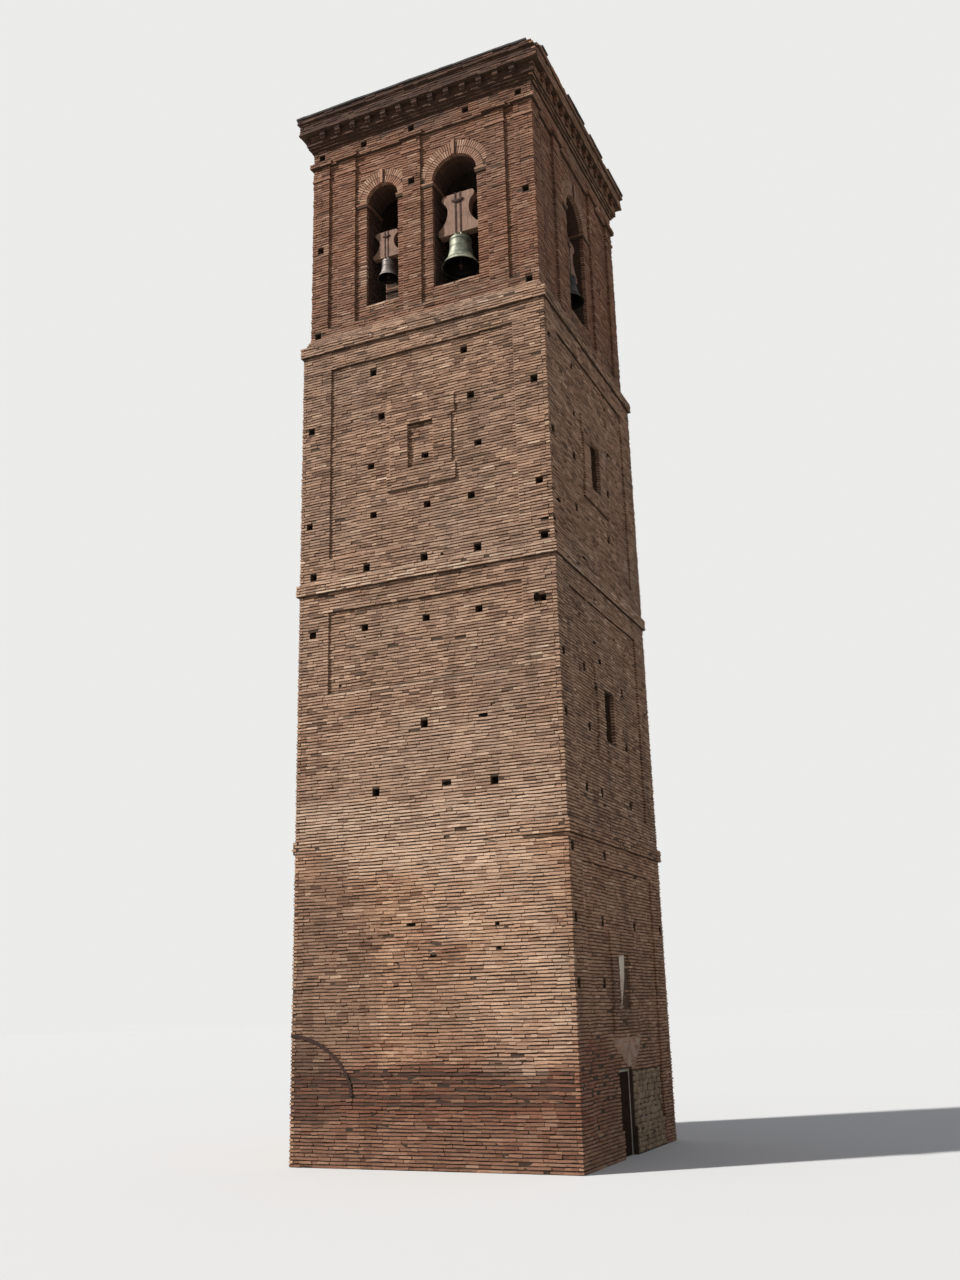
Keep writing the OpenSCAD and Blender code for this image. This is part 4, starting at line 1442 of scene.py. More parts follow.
@dataclass(frozen=True)
class Arch:
    """One round arch of the belfry: jambs, springing, two rings of bricks and a keystone."""

    u: float
    width: float
    bay: tuple[float, float]

    @property
    def radius(self) -> float:
        """Inner radius of the ring."""
        return self.width / 2

    def openings(self) -> list[Region]:
        """What the arch leaves out of its bay.

        Returns:
            The opening below the springing and the ring above it.
        """
        return [
            Region(self.u - self.radius, self.u + self.radius, SILL, SPRING),
            RingRegion(*self.bay, SPRING, ABOVE, None, self.u, self.radius + 0.4),
        ]

    def reveals(self, side: Side) -> Reveals:
        """Its brick sides below the imposts.

        Args:
            side: Face that the arch is in.

        Returns:
            Both sides.
        """
        # painted shade: a dark mark over both jambs inside the arch
        soot = (2.4, 22, 0.9, 9, self.radius * 2.2)
        return Reveals(
            side, self.u, self.radius, SILL, IMPOST_Z, BELFRY_IN, BAY - 0.1, 0.25, soot
        )

    def ring(self, side: Side, pile: Pile) -> None:
        """Sets out the radial bricks: two on the face, then the soffit behind them.

        Args:
            side: Face that the arch is in.
            pile: The pile that gets them.
        """
        rng = pile.rng
        # inner radius, depth, front plane, length and painted shade of each row; the three soffit rows
        # behind the face are dark, with a lower tone, as painted shade under the arch
        rows = [
            (self.radius - 0.010, 0.205, BAY + 0.030, 0.12, 0.0),
            (self.radius + 0.205, 0.19, BAY + 0.026, 0.12, 0.0),
            (self.radius - 0.008, 0.14, BAY - 0.098, 0.21, 0.68),
            (self.radius - 0.008, 0.14, BAY - 0.316, 0.22, 0.84),
            (self.radius - 0.008, 0.14, BAY - 0.544, 0.23, 0.94),
        ]
        for inner, deep, front, along, dark in rows:
            count = round(math.pi * (inner + deep / 2) / 0.068)
            for i in range(count):
                angle = math.pi * (i + 0.5) / count
                middle = inner + deep / 2
                u = self.u + middle * math.cos(angle)
                if not self.bay[0] + 0.02 < u < self.bay[1] - 0.02:
                    continue
                thick = 2 * middle * math.tan(math.pi / count / 2)
                pile.add(
                    side.face.spot(
                        u,
                        front - along / 2 + rng.uniform(-0.004, 0.004),
                        SPRING + middle * math.sin(angle),
                    ),
                    (deep - 0.008, along, thick - 0.014),
                    (0, -angle, side.turn),
                    rng.gauss(0.36 if dark else 0.66, 0.14),
                    (dark, 0, 0 if dark else 0.15 * rng.random()),
                )


@dataclass
class Belfry:
    """The open bell storey: pilasters, bays, arches, imposts, capitals and keystones."""

    small: Arch = Arch(-1.12, 0.94, (-1.905, -0.475))
    great: Arch = Arch(0.973, 1.27, (0.025, 1.905))
    single: Arch = Arch(0.0, 1.36, (-1.15, 1.15))
    narrow_bay: tuple[float, float] = (2.405, 2.705)  # beside the corners of a face of two arches
    wide_bay: tuple[float, float] = (1.65, 2.705)  # the same on a face of one arch
    holes: dict[Side, list[Region]] = field(default_factory=dict)
    marks: dict[Side, list[Mark]] = field(default_factory=dict)

    def arches(self, side: Side) -> tuple[Arch, ...]:
        """The arches of one face."""
        return (self.small, self.great) if side.runs_to_corner else (self.single,)

    def bays(self, side: Side) -> tuple[tuple[float, float], ...]:
        """The recessed bays of one face."""
        near, far = self.narrow_bay if side.runs_to_corner else self.wide_bay
        return (-far, -near), *(arch.bay for arch in self.arches(side)), (near, far)

    def pilasters(self, side: Side) -> tuple[tuple[float, float], ...]:
        """The pilasters between the bays of one face, the corner ones with their outer edge."""
        ends = [-HALF_B, *[v for bay in self.bays(side) for v in bay], HALF_B]
        return tuple(zip(ends[::2], ends[1::2]))

    def regions(self, side: Side) -> list[Region]:
        """Planes of one face.

        Args:
            side: The face.

        Returns:
            The planes, later ones over earlier ones.
        """
        found = [Region(-HALF_B, HALF_B, 0, ABOVE, HALF_B)]
        found += [Region(a, b, BELFRY_Z + 0.25, ABOVE, BAY) for a, b in self.bays(side)]
        for arch in self.arches(side):
            found += arch.openings()
            for a, b in ((arch.bay[0], arch.u - arch.radius), (arch.u + arch.radius, arch.bay[1])):
                found.append(Region(a, b, IMPOST_Z, SPRING))
        for a, b in self.pilasters(side):
            found.append(Region(a - 0.03, b + 0.03, CAPITAL_Z, CAPITAL_Z + COURSE))
        return found + self.holes.get(side, [])

    def trim(self, side: Side, pile: Pile) -> None:
        """Imposts and capitals: long moulded bricks that stand out of the wall.

        Args:
            side: The face.
            pile: The pile that gets them.
        """
        for arch in self.arches(side):
            r = arch.radius - 0.05
            for a, b in ((arch.bay[0], arch.u - r), (arch.u + r, arch.bay[1])):
                for k, out in enumerate((BAY + 0.028, BAY + 0.058)):
                    high = 0.056 if k else 0.052
                    z = IMPOST_Z + 0.062 * k + 0.032
                    lengths(side.face, a, b, out, z, high, pile, 0.62)
            for hand in (-1, 1):
                jamb = jamb_face(side, arch.u + hand * arch.radius, hand)
                near, far = reveal(hand, BELFRY_IN, BAY - 0.06)
                for k, out in enumerate((0.028, 0.054)):
                    z = IMPOST_Z + 0.032 + 0.062 * k
                    lengths(jamb, near, far, out, z, 0.054, pile, 0.5)
        for a, b in self.pilasters(side):
            out, z = HALF_B + 0.042, CAPITAL_Z + 0.036
            lengths(side.face, a - 0.038, b + 0.038, out, z, 0.06, pile, 0.6)

    def build(self, mason: Mason, finish: Finish) -> None:
        """Lays the four faces, their trim and their arch rings.

        Args:
            mason: Lays the blocks.
            finish: Finish of the bricks.
        """
        for side in Side:
            rng = random.Random(600 + side.value)
            pile = Brickwork(
                side.face, BELFRY_Z, ENTABLATURE_Z, self.regions(side), self.marks.get(side, ()),
                side.runs_to_corner, 610 + side.value, 0.5,
            ).pile(Pile(rng))
            rings = Pile(rng)
            for arch in self.arches(side):
                arch.reveals(side).pile(pile, 620 + side.value)
                arch.ring(side, rings)
                top = SPRING + arch.radius
                rings.add(
                    side.face.spot(arch.u, BAY + 0.03, top + 0.2),
                    (0.43, 0.1, 0.1),
                    (0, -math.pi / 2, side.turn),
                    0.75,
                )
            self.trim(side, pile)
            label = side.name.lower()
            dress(mason.lay(f"belfry_{label}_bricks", pile, mason.brick, 0.009), finish, "tower")
            dress(mason.lay(f"belfry_{label}_rings", rings, mason.wedge, 0.006), finish, "tower")


def lengths(
    face: Face, a: float, b: float, out: float, z: float, high: float, pile: Pile, tone: float
) -> None:
    """Lays one run of moulded bricks close together.

    Args:
        face: Plane that they stand on.
        a: Start of the run.
        b: End of the run.
        out: How far out their front is.
        z: Height of their middle.
        high: Their height.
        pile: The pile that gets them.
        tone: Their tone.
    """
    rng = pile.rng
    count = max(1, round((b - a) / 0.26))
    step = (b - a) / count
    for i in range(count):
        pile.add(
            face.spot(a + (i + 0.5) * step, out - 0.07 + rng.uniform(-0.003, 0.003), z),
            (step - 0.006, 0.14, high),
            (0, rng.gauss(0, 0.004), face.turn),
            rng.gauss(tone, 0.1),
        )


@dataclass
class Cornice:
    """Corbelled courses and brackets."""

    steps: tuple[float, ...] = (
        0.06, 0.105, 0.15, 0.15, 0.15, 0.15, 0.31, 0.29, 0.29, 0.29, 0.29, 0.34, 0.34,
    )
    bracket_count: int = 13
    bracket: float = 0.14
    reaches: tuple[float, ...] = (0.085, 0.128, 0.132)  # of the three slabs, from the lowest
    lost: float = 0.05  # share of slabs that are missing

    def brackets(self, side: Side, pile: Pile) -> None:
        """Three slabs for each bracket, the lowest drawn back.

        Args:
            side: The face.
            pile: The pile that gets them.
        """
        rng = pile.rng
        pitch = (2 * HALF_B + 0.3 - self.bracket) / (self.bracket_count + 1)
        for k in range(self.bracket_count):
            u = (k - (self.bracket_count - 1) / 2) * pitch
            for row, reach in enumerate(self.reaches):
                if rng.random() < self.lost:
                    continue
                # dark bracket ends on all but the right side: painted shade over ends that the sun
                # lights
                pile.add(
                    side.face.spot(
                        u + rng.uniform(-0.004, 0.004),
                        HALF_B + 0.15 + reach / 2 - 0.02,
                        CORNICE_Z + (3.5 + row) * COURSE,
                    ),
                    (self.bracket + 0.012, reach + 0.04, 0.056),
                    (0, rng.gauss(0, 0.01), side.turn + rng.gauss(0, 0.01)),
                    rng.gauss(0.3, 0.14),
                    (0.1 if side is Side.RIGHT else rng.uniform(0.7, 1.0), 0.2, 0),
                )

    def build(self, mason: Mason, finish: Finish, regions: dict, soot: dict) -> None:
        """Lays the courses and the brackets under their band.

        Args:
            mason: Lays the blocks.
            finish: Finish of the bricks.
            regions: Where the top courses are broken away, by side.
            soot: Marks on the courses, by side: dirt and painted shade on the sunlit front and left,
                painted light on the shaded right and back.
        """
        outs = tuple(HALF_B + step for step in self.steps)
        Band(
            "cornice_bricks", CORNICE_Z, outs, regions=regions, marks=soot, tone=0.36, worn=0.3
        ).build(mason, finish)
        pile = Pile(random.Random(77))
        for side in Side:
            self.brackets(side, pile)
        dress(mason.lay("cornice_brackets", pile, mason.brick, 0.008), finish, "tower")


@dataclass(frozen=True)
class Rubble:
    """Random rubble at the foot of the right wall, where the brick facing is lost."""

    u0: float = 0.33
    u1: float = 2.46
    top: float = 1.74

    def build(self, mason: Mason, finish: Finish) -> None:
        """Lays uneven rows of stones of many sizes.

        Args:
            mason: Lays the blocks.
            finish: Finish of the stones.
        """
        rng = random.Random(8)
        pile = Pile(rng)
        face = Side.RIGHT.face
        z = 0.03
        while z < self.top - 0.08:
            high = rng.uniform(0.075, 0.15)
            u = self.u0
            while u < self.u1 - 0.1:
                long = min(rng.uniform(0.14, 0.5), self.u1 - u)
                plane = HALF if z + high / 2 < 0.57 else FIELD
                pile.add(
                    face.spot(u + long / 2, plane - 0.03 + rng.uniform(-0.02, 0.0), z + high / 2),
                    (long * 1.02, 0.13, high * rng.uniform(0.9, 1.12)),
                    (0, rng.gauss(0, 0.07), face.turn),
                    rng.random(),
                )
                u += long
            z += high
        dress(mason.lay("rubble_stones", pile, mason.stone, 0.05, 6.0), finish, "tower")


@dataclass(frozen=True)
class Patch:
    """Thin coat of plaster on a face, its edge wandering between its corners."""

    name: str
    side: Side
    corners: tuple[tuple[float, float], ...]
    out: float
    thick: float = 0.014

    def build(self, finish: Finish) -> None:
        """Spreads the coat.

        Args:
            finish: Finish of the coat.
        """
        outline = []
        for (u0, z0), (u1, z1) in zip(self.corners, self.corners[1:] + self.corners[:1]):
            count = max(2, round(math.hypot(u1 - u0, z1 - z0) / 0.05))
            for i in range(count):
                t = i / count
                u, z = u0 + (u1 - u0) * t, z0 + (z1 - z0) * t
                drift = noise.noise_vector(Vector((u * 4, z * 4, 1.7))) * 0.05
                outline.append((u + drift.x, z + drift.y))
        obj = plate(self.name, outline, -self.out, self.thick - self.out)
        obj.rotation_euler.z = self.side.turn
        settle(obj)
        finish_with(obj, "BEVEL", width=0.004, segments=1)
        dress(obj, finish, "tower")


@dataclass(frozen=True)
class Hollows:
    """Beds where a brick or two have dropped out, lined with black as painted shade in the hollow
    behind.
    """

    side: Side
    spots: tuple[tuple[float, float, float, float, float], ...]
    corners: int = 14
    thick: float = 0.006

    def build(self, finish: Finish) -> None:
        """Sets a thin black lining in each bed: painted shade.

        Args:
            finish: The finish of the lining.
        """
        pieces = []
        for u, z, wide, high, out in self.spots:
            outline = []
            for i in range(self.corners):
                angle = i * math.tau / self.corners
                grow = 1 + 0.35 * noise.noise(Vector((u + math.cos(angle), z + math.sin(angle), 2)))
                outline.append((u + wide * grow * math.cos(angle), z + high * grow * math.sin(angle)))
            pieces.append(plate("lining", outline, -out - self.thick / 2, -out + self.thick / 2))
        obj = join(f"sooty_hollows_{self.side.name.lower()}", pieces)
        obj.rotation_euler.z = self.side.turn
        dress(settle(obj), finish, "tower")


# where bricks are missing: middle along the face, height, half width, half height and plane
FALLEN = {
    Side.FRONT: (
        (-0.35, 4.88, 0.12, 0.035, HALF), (1.66, 4.8, 0.06, 0.03, HALF),
        (1.68, 4.31, 0.07, 0.025, HALF), (-0.75, 3.61, 0.07, 0.035, HALF),
        (0.17, 4.2, 0.08, 0.025, HALF), (-2.18, 10.45, 0.05, 0.035, FIELD),
        (1.47, 9.28, 0.12, 0.045, HALF), (0.55, 7.86, 0.12, 0.045, HALF),
        (0.53, 13.2, 0.05, 0.035, HALF), (3.1, 13.27, 0.16, 0.035, HALF),
        (3.13, 13.62, 0.13, 0.035, HALF), (2.83, 11.79, 0.07, 0.1, HALF),
        (-2.93, 11.73, 0.09, 0.05, HALF),
    ),
    Side.RIGHT: (
        (-0.39, 10.96, 0.12, 0.045, FIELD), (-0.62, 7.45, 0.12, 0.045, FIELD),
        (-0.73, 11.33, 0.12, 0.04, FIELD), (-1.7, 11.76, 0.1, 0.035, FIELD),
        (-0.89, 10.2, 0.05, 0.045, HALF), (-2.9, 14.17, 0.13, 0.035, HALF),
        (-1.3, 13.29, 0.13, 0.035, HALF), (-3.2, 13.3, 0.06, 0.035, HALF),
        (-3.2, 13.6, 0.06, 0.035, HALF),
    ),
}


@dataclass(frozen=True)
class LeanToScar:
    """Curved line low on the front wall, where the roof of a lost lean-to was let in."""

    path: tuple[tuple[float, float], ...] = (
        (-3.31, 2.65), (-3.0, 2.61), (-2.75, 2.53), (-2.52, 2.42), (-2.3, 2.27), (-2.1, 2.09),
        (-1.94, 1.88), (-1.84, 1.67), (-1.8, 1.42),
    )
    wide: float = 0.085
    parts: int = 4  # lengths between two points of the path

    def build(self, finish: Finish) -> None:
        """Sets short lengths of mortar end to end along the line.

        Args:
            finish: Finish of the mortar.
        """
        pieces = []
        steps = [
            (u0 + (u1 - u0) * i / self.parts, z0 + (z1 - z0) * i / self.parts)
            for (u0, z0), (u1, z1) in zip(self.path, self.path[1:])
            for i in range(self.parts)
        ]
        steps.append(self.path[-1])
        for k, ((u0, z0), (u1, z1)) in enumerate(zip(steps, steps[1:])):
            long = math.hypot(u1 - u0, z1 - z0) + 0.012
            half = self.wide * (0.42 + 0.13 * noise.noise(Vector((k * 0.9, 0, 0))))
            piece = board("scar_length", (-long / 2, -0.032, -half), (long / 2, 0.0, half), 0.008)
            piece.rotation_euler.y = -math.atan2(z1 - z0, u1 - u0)
            piece.location = ((u0 + u1) / 2, -HALF, (z0 + z1) / 2)
            pieces.append(settle(piece))
        dress(join("lean_to_scar", pieces), finish, "tower")


@dataclass(frozen=True)
class CoverSlabs:
    """Dark slabs on top of the cornice, broken and pushed about along the right side."""

    edge: float = EAVE + 0.04
    thick: float = 0.06
    deep: float = 0.25
    length: float = 0.42
    corner: tuple[float, float] = (3.25, -3.287)  # where the front and right sides end
    gaps: tuple[tuple[float, float, float], ...] = (
        (-3.287, -3.128, 0.102), (-2.759, -2.513, 0.116), (-2.513, -1.213, 0.075),
        (0.07, 0.545, 0.095), (1.617, 2.179, 0.085),
    )

    def build(self, mason: Mason, finish: Finish) -> None:
        """Lays the slabs side by side, each side over the far corner.

        Args:
            mason: Lays the blocks.
            finish: Finish of the slabs.
        """
        rng = random.Random(31)
        pile = Pile(rng)
        for side in Side:
            start_u = self.corner[1] if side is Side.RIGHT else self.deep - self.edge
            end_u = self.corner[0] if side is Side.FRONT else self.edge
            cuts = {start_u, end_u}
            if side is Side.RIGHT:
                cuts |= {v for gap in self.gaps for v in gap[:2]}
            cuts = sorted(cuts)
            for a, b in zip(cuts, cuts[1:]):
                back = sum(
                    d for u0, u1, d in self.gaps if side is Side.RIGHT and u0 < (a + b) / 2 < u1
                )
                count = max(1, round((b - a) / self.length))
                long = (b - a) / count
                for i in range(count):
                    out = self.edge - back + rng.uniform(-0.006, 0.004)
                    z = ROOF_Z + self.thick / 2 + rng.uniform(-0.002, 0.003)
                    pile.add(
                        side.face.spot(a + (i + 0.5) * long, out - (self.deep - back) / 2, z),
                        (long - 0.006, self.deep - back, self.thick),
                        (rng.gauss(0, 0.006), rng.gauss(0, 0.004), side.turn),
                        rng.random(),
                    )
        dress(mason.lay("cornice_cover_slabs", pile, mason.brick, 0.006), finish, "tower")


@dataclass(frozen=True)
class TileRoof:
    """Low hipped roof of barrel tiles: channels, covers, hip tiles and a mortar cap."""

    pitch: float = PITCH
    column: float = 0.235
    row: float = 0.36
    tile: tuple[float, float, float] = (0.2, 0.44, 0.15)
    edge: float = ROOF_EDGE + 0.02

    def height(self, out: float) -> float:
        """Height of the boarded slope at a distance from the axis."""
        return ROOF_Z + (ROOF_EDGE - out) * math.tan(self.pitch)

    def slope(self, side: Side, pile: Pile) -> None:
        """Sets out channels and covers on one slope, from the eave to the hips.

        Args:
            side: The slope.
            pile: The pile that gets them.
        """
        rng = pile.rng
        cos = math.cos(self.pitch)
        columns = int(2 * self.edge / self.column)
        for i in range(2 * columns + 1):
            cover = (i - columns) % 2 == 0
            u = (i - columns) * self.column / 2
            long = (self.edge - abs(u)) / cos
            open_corner = (side is Side.FRONT and u > self.edge - 0.45) or (
                side is Side.RIGHT and u < 0.45 - self.edge
            )
            for k in range(math.ceil(long / self.row)):
                part = min(self.tile[1], long - k * self.row + 0.05)
                if part < 0.12 or open_corner:
                    continue
                out = self.edge - (k * self.row + part / 2) * cos
                lift = 0.062 if cover else 0.072
                lean = self.pitch - 0.05
                pile.add(
                    side.face.spot(u + rng.uniform(-0.006, 0.006), out, self.height(out) + lift),
                    (self.tile[0], part, self.tile[2]),
                    (lean if cover else -lean, 0 if cover else math.pi, side.turn + rng.gauss(0, 0.01)),
                    rng.random(),
                )

    def hip(self, turn: float, pile: Pile) -> None:
        """Sets out the tiles of one hip.

        Args:
            turn: Angle of the hip about Z.
            pile: The pile that gets them.
        """
        rng = pile.rng
        lean = math.atan(math.tan(self.pitch) / math.sqrt(2))
        long = (self.edge - 0.06) * math.sqrt(2) / math.cos(lean)
        count = round(long / self.row)
        for k in range(count):
            run = (k + 0.5) * long / count * math.cos(lean)
            out = self.edge - 0.06 - run / math.sqrt(2)
            foot = Face(0, 0, turn).spot(0, out * math.sqrt(2), self.height(out) + 0.08)
            if k == 0 and foot.x > 0 > foot.y:
                continue
            pile.add(
                foot, (0.24, 0.45, 0.2), (lean - 0.03, rng.gauss(0, 0.02), turn), rng.random()
            )

    def build(self, mason: Mason, finish: Finish, mortar: Finish) -> None:
        """Covers the roof and sets the cap.

        Args:
            mason: Lays the tiles.
            finish: Finish of the tiles.
            mortar: Finish of the cap.
        """
        pile = Pile(random.Random(5))
        for side in Side:
            self.slope(side, pile)
            self.hip(side.turn + math.pi / 4, pile)
        roof = mason.lay("roof_barrel_tiles", pile, mason.tile, 0.004)
        dress(roof, finish, "tower", "roof_tiles")
        top = self.height(0)
        cap = turned(
            "roof_cap",
            ((0, 0.232), (0.06, 0.222), (0.1, 0.18), (0.12, 0.12), (0.19, 0.08), (0.26, 0.0),
             (0.27, -0.06), (0, -0.06)),
            28,
        )
        cap.location.z = top
        dress(settle(cap), mortar, "tower")


@dataclass(frozen=True)
class Bell:
    """A swinging bell: bronze casting, hollow-flanked wooden yoke, straps' bolts, crossbar."""

    name: str
    axle: tuple[float, float, float]
    turn: float
    rim: float
    height: float
    yoke_w: float
    yoke_h: float
    grime_and_shade: float = 0.0  # painted shade on the casting above its flare

    @property
    def body(self) -> str:
        """The CAD body that swings."""
        return f"{self.name}_swing"

    @property
    def foot(self) -> float:
        """Underside of the yoke, measured from the axle."""
        return -0.136 * self.yoke_h

    @property
    def plank(self) -> float:
        """Half the thickness of the yoke."""
        return 0.095 * self.yoke_h

    def hang(self, obj: Any) -> Any:
        """Takes a piece made round the axle to its place.

        Args:
            obj: The piece.

        Returns:
            The same piece.
        """
        obj.rotation_euler.z = self.turn
        obj.location = self.axle
        return settle(obj)

    def section(self) -> list[tuple[float, float]]:
        """Section of the casting.

        Returns:
            Radius and height, down its outside and up its inside.
        """
        big = self.rim / 2
        wires = {0.06: 0.008, 0.16: 0.014, 0.2: 0.009, 0.62: 0.007, 0.66: 0.007, 0.9: 0.012}
        heights = sorted(
            {i / 16 for i in range(17)} | {w + d for w in wires for d in (-0.016, 0, 0.016)}
        )
        lip = self.foot - 1.2 * self.height

        def skin(t: float) -> float:
            """Outer radius at a share of the height, without its moulded wires."""
            return big * (0.56 + 0.44 * (1 - t) ** 3.2)

        def swell(t: float) -> float:
            """How far a wire stands out there."""
            return self.rim * max((b for w, b in wires.items() if abs(t - w) < 1e-6), default=0.0)

        def wall(t: float) -> float:
            """Thickness there, greatest where the clapper strikes."""
            return big * (0.065 + 0.07 * math.exp(-(((t - 0.08) / 0.07) ** 2)))

        down = [(skin(t) + swell(t), lip + t * self.height) for t in reversed(heights)]
        up = [
            (skin(t) - wall(t), lip + t * self.height)
            for t in (0.005, 0.03, 0.06, 0.1, 0.15, 0.22, 0.3, 0.4, 0.52, 0.66, 0.8, 0.93)
        ]
        crown = lip + 1.035 * self.height
        shoulder = [(0, crown + 0.004), (0.3 * big, crown), (0.48 * big, crown - 0.012 * big)]
        return [*shoulder, *down, *up, (0.3 * big, up[-1][1] + 0.02), (0, up[-1][1] + 0.02)]

    def cast(self, finish: Finish) -> None:
        """Spins the casting and sets the crown loops that hang it.

        Args:
            finish: Finish of the casting.
        """
        bell = turned(self.name + "_casting", self.section(), 56)
        # painted shade: black inside the bell, darker above the flare
        soot = bell.data.attributes.new("soot", "FLOAT", "POINT")
        flare = self.foot - 0.92 * self.height
        soot.data.foreach_set(
            "value",
            [
                1.0  # the inside, black as painted shade
                if v.normal.xy.dot(v.co.xy) < 0
                else self.grime_and_shade * min(1, max(0, (v.co.z - flare) * 7))
                for v in bell.data.vertices
            ],
        )
        big = self.rim / 2
        crown = self.foot - 0.17 * self.height
        room = self.foot - crown
        loops = []
        for k in range(6):
            loop = hoop("crown_loop", room * 0.62, 0.045 * big, 20)
            with editing(loop):
                pick(loop, "VERT", lambda v: v.co.z > 0)
                bpy.ops.transform.resize(value=(0.82, 1, 1.1))
            loop.location = (0.2 * big, 0, crown + 0.3 * room)
            settle(loop)
            loop.rotation_euler.z = k * math.tau / 6
            loops.append(settle(loop))
        post = turned(
            "crown_post",
            ((0, room), (0.1 * big, room), (0.07 * big, 0.5 * room), (0.12 * big, -0.02), (0, -0.02)),
            20,
        )
        post.location.z = crown
        loops.append(settle(post))
        whole = self.hang(join(self.name + "_casting", [bell, *loops]))
        take(whole)
        bpy.ops.object.shade_smooth_by_angle(angle=math.radians(32))
        dress(whole, finish, self.body, self.name)

    def outline(self) -> list[tuple[float, float]]:
        """Outline of the yoke: wide foot, hollow flanks, rounded horns.

        Returns:
            Its corners, x and z from the axle.
        """
        w, h = self.yoke_w, self.yoke_h
        toe, horn, top, waist, level = 0.04 * w, 0.09 * w, 0.41 * w, 0.262 * w, 0.59 * h

        def arc(x: float, z: float, r: float, first: float, last: float, steps: int) -> list:
            """Points of an arc from its first angle to its last."""
            turns = (first + (last - first) * i / steps for i in range(steps + 1))
            return [(x + r * math.cos(a), z + r * math.sin(a)) for a in turns]

        def flank(dx: float, dz: float) -> tuple[float, float]:
            """Radius and angle of an arc that starts upright and ends dx and dz away."""
            r = (dx * dx + dz * dz) / (2 * dx)
            return r, math.asin(dz / r)

        low_r, low = flank(w / 2 - waist, level - 0.15 * h)
        high_r, high = flank(0.4 * w - waist, 0.26 * h)
        half = [
            *arc(w / 2 - toe, toe, toe, -math.pi / 2, 0, 4),
            *arc(waist + low_r, level, low_r, math.pi + low, math.pi, 14),
            *arc(waist + high_r, level, high_r, math.pi, math.pi - high, 12)[1:],
            *arc(top - horn, h - horn, horn, -0.9, math.pi / 2, 9),
        ]
        both = half + [(-x, z) for x, z in reversed(half)]
        return [(x, z + self.foot) for x, z in both]

    def yoke(self, finish: Finish) -> None:
        """Cuts the yoke out of a thick plank and rounds its edges.

        Args:
            finish: Finish of the plank.
        """
        obj = plate(self.name + "_yoke_plank", self.outline(), -self.plank, self.plank)
        finish_with(obj, "BEVEL", width=0.011, segments=2, limit_method="ANGLE", angle_limit=0.9)
        dress(self.hang(obj), finish, self.body, self.name + "_yoke")

    def irons(self, finish: Finish) -> None:
        """Bolt heads on the straps and the drooping crossbar near the top.

        Args:
            finish: Finish of the irons.
        """
        h = self.yoke_h
        front = self.plank + 0.011
        pieces = []
        for side in (-1, 1):
            for hand in (-1, 1):
                for level in (0.12, 0.4, 0.66, 0.92):
                    spot = (hand * 0.058 * h, side * front, self.foot + level * h)
                    bolt = start(
                        bpy.ops.mesh.primitive_cylinder_add, "bolt_head", vertices=6,
                        radius=0.0145, depth=0.02, location=spot, rotation=(math.pi / 2, 0, 0),
                    )
                    settle(bolt)
                    pieces.append(finish_with(bolt, "BEVEL", width=0.003, segments=1))
        for side in (-1, 1):
            bar = hoop("crossbar", 0.15 * h, 0.02 * h, 40)
            with editing(bar):
                pick(bar, "FACE", lambda f: f.center.z > -0.095 * h)
                bpy.ops.mesh.delete(type="FACE")
                bpy.ops.mesh.select_all(action="SELECT")
                bpy.ops.mesh.fill_holes(sides=0)
            bar.location = (0, side * (front + 0.008), self.foot + 0.92 * h)
            pieces.append(settle(bar))
        obj = join(self.name + "_yoke_bolts", pieces)
        dress(self.hang(obj), finish, self.body)

    def build(self, colours: Palette) -> None:
        """Casting, yoke and irons.

        Args:
            colours: All finishes.
        """
        self.cast(colours.bells[self.name])
        self.yoke(colours.yoke)
        self.irons(colours.iron)


@dataclass(frozen=True)
class Door:
    """Plank leaf of the low doorway in the right wall."""

    y: float = -0.18
    half: float = 0.399
    back: float = 3.135
    front: float = 3.18
    z0: float = 0.006
    z1: float = 1.714
    boards: int = 5

    def build(self, finish: Finish) -> None:
        """Sets the boards edge to edge and drives two rows of nails.

        Args:
            finish: Finish of the boards.
        """
        wide = 2 * self.half / self.boards
        pieces = []
        for k in range(self.boards):
            y0 = self.y - self.half + k * wide
            low = (self.back, y0 + 0.001, self.z0)
            high = (self.front - 0.002 * (k % 2), y0 + wide - 0.001, self.z1)
            pieces.append(board("door_board", low, high, 0.004))
            for z in (0.28, 1.47):
                for part in (0.3, 0.7):
                    nail = turned("nail", ((0, 0.007), (0.006, 0.005), (0.009, 0), (0, -0.004)), 8)
                    nail.rotation_euler.y = math.pi / 2
                    nail.location = (self.front - 0.001, y0 + part * wide, z)
                    pieces.append(settle(nail))
        dress(join("door_boards", pieces), finish, "door", "door_leaf")


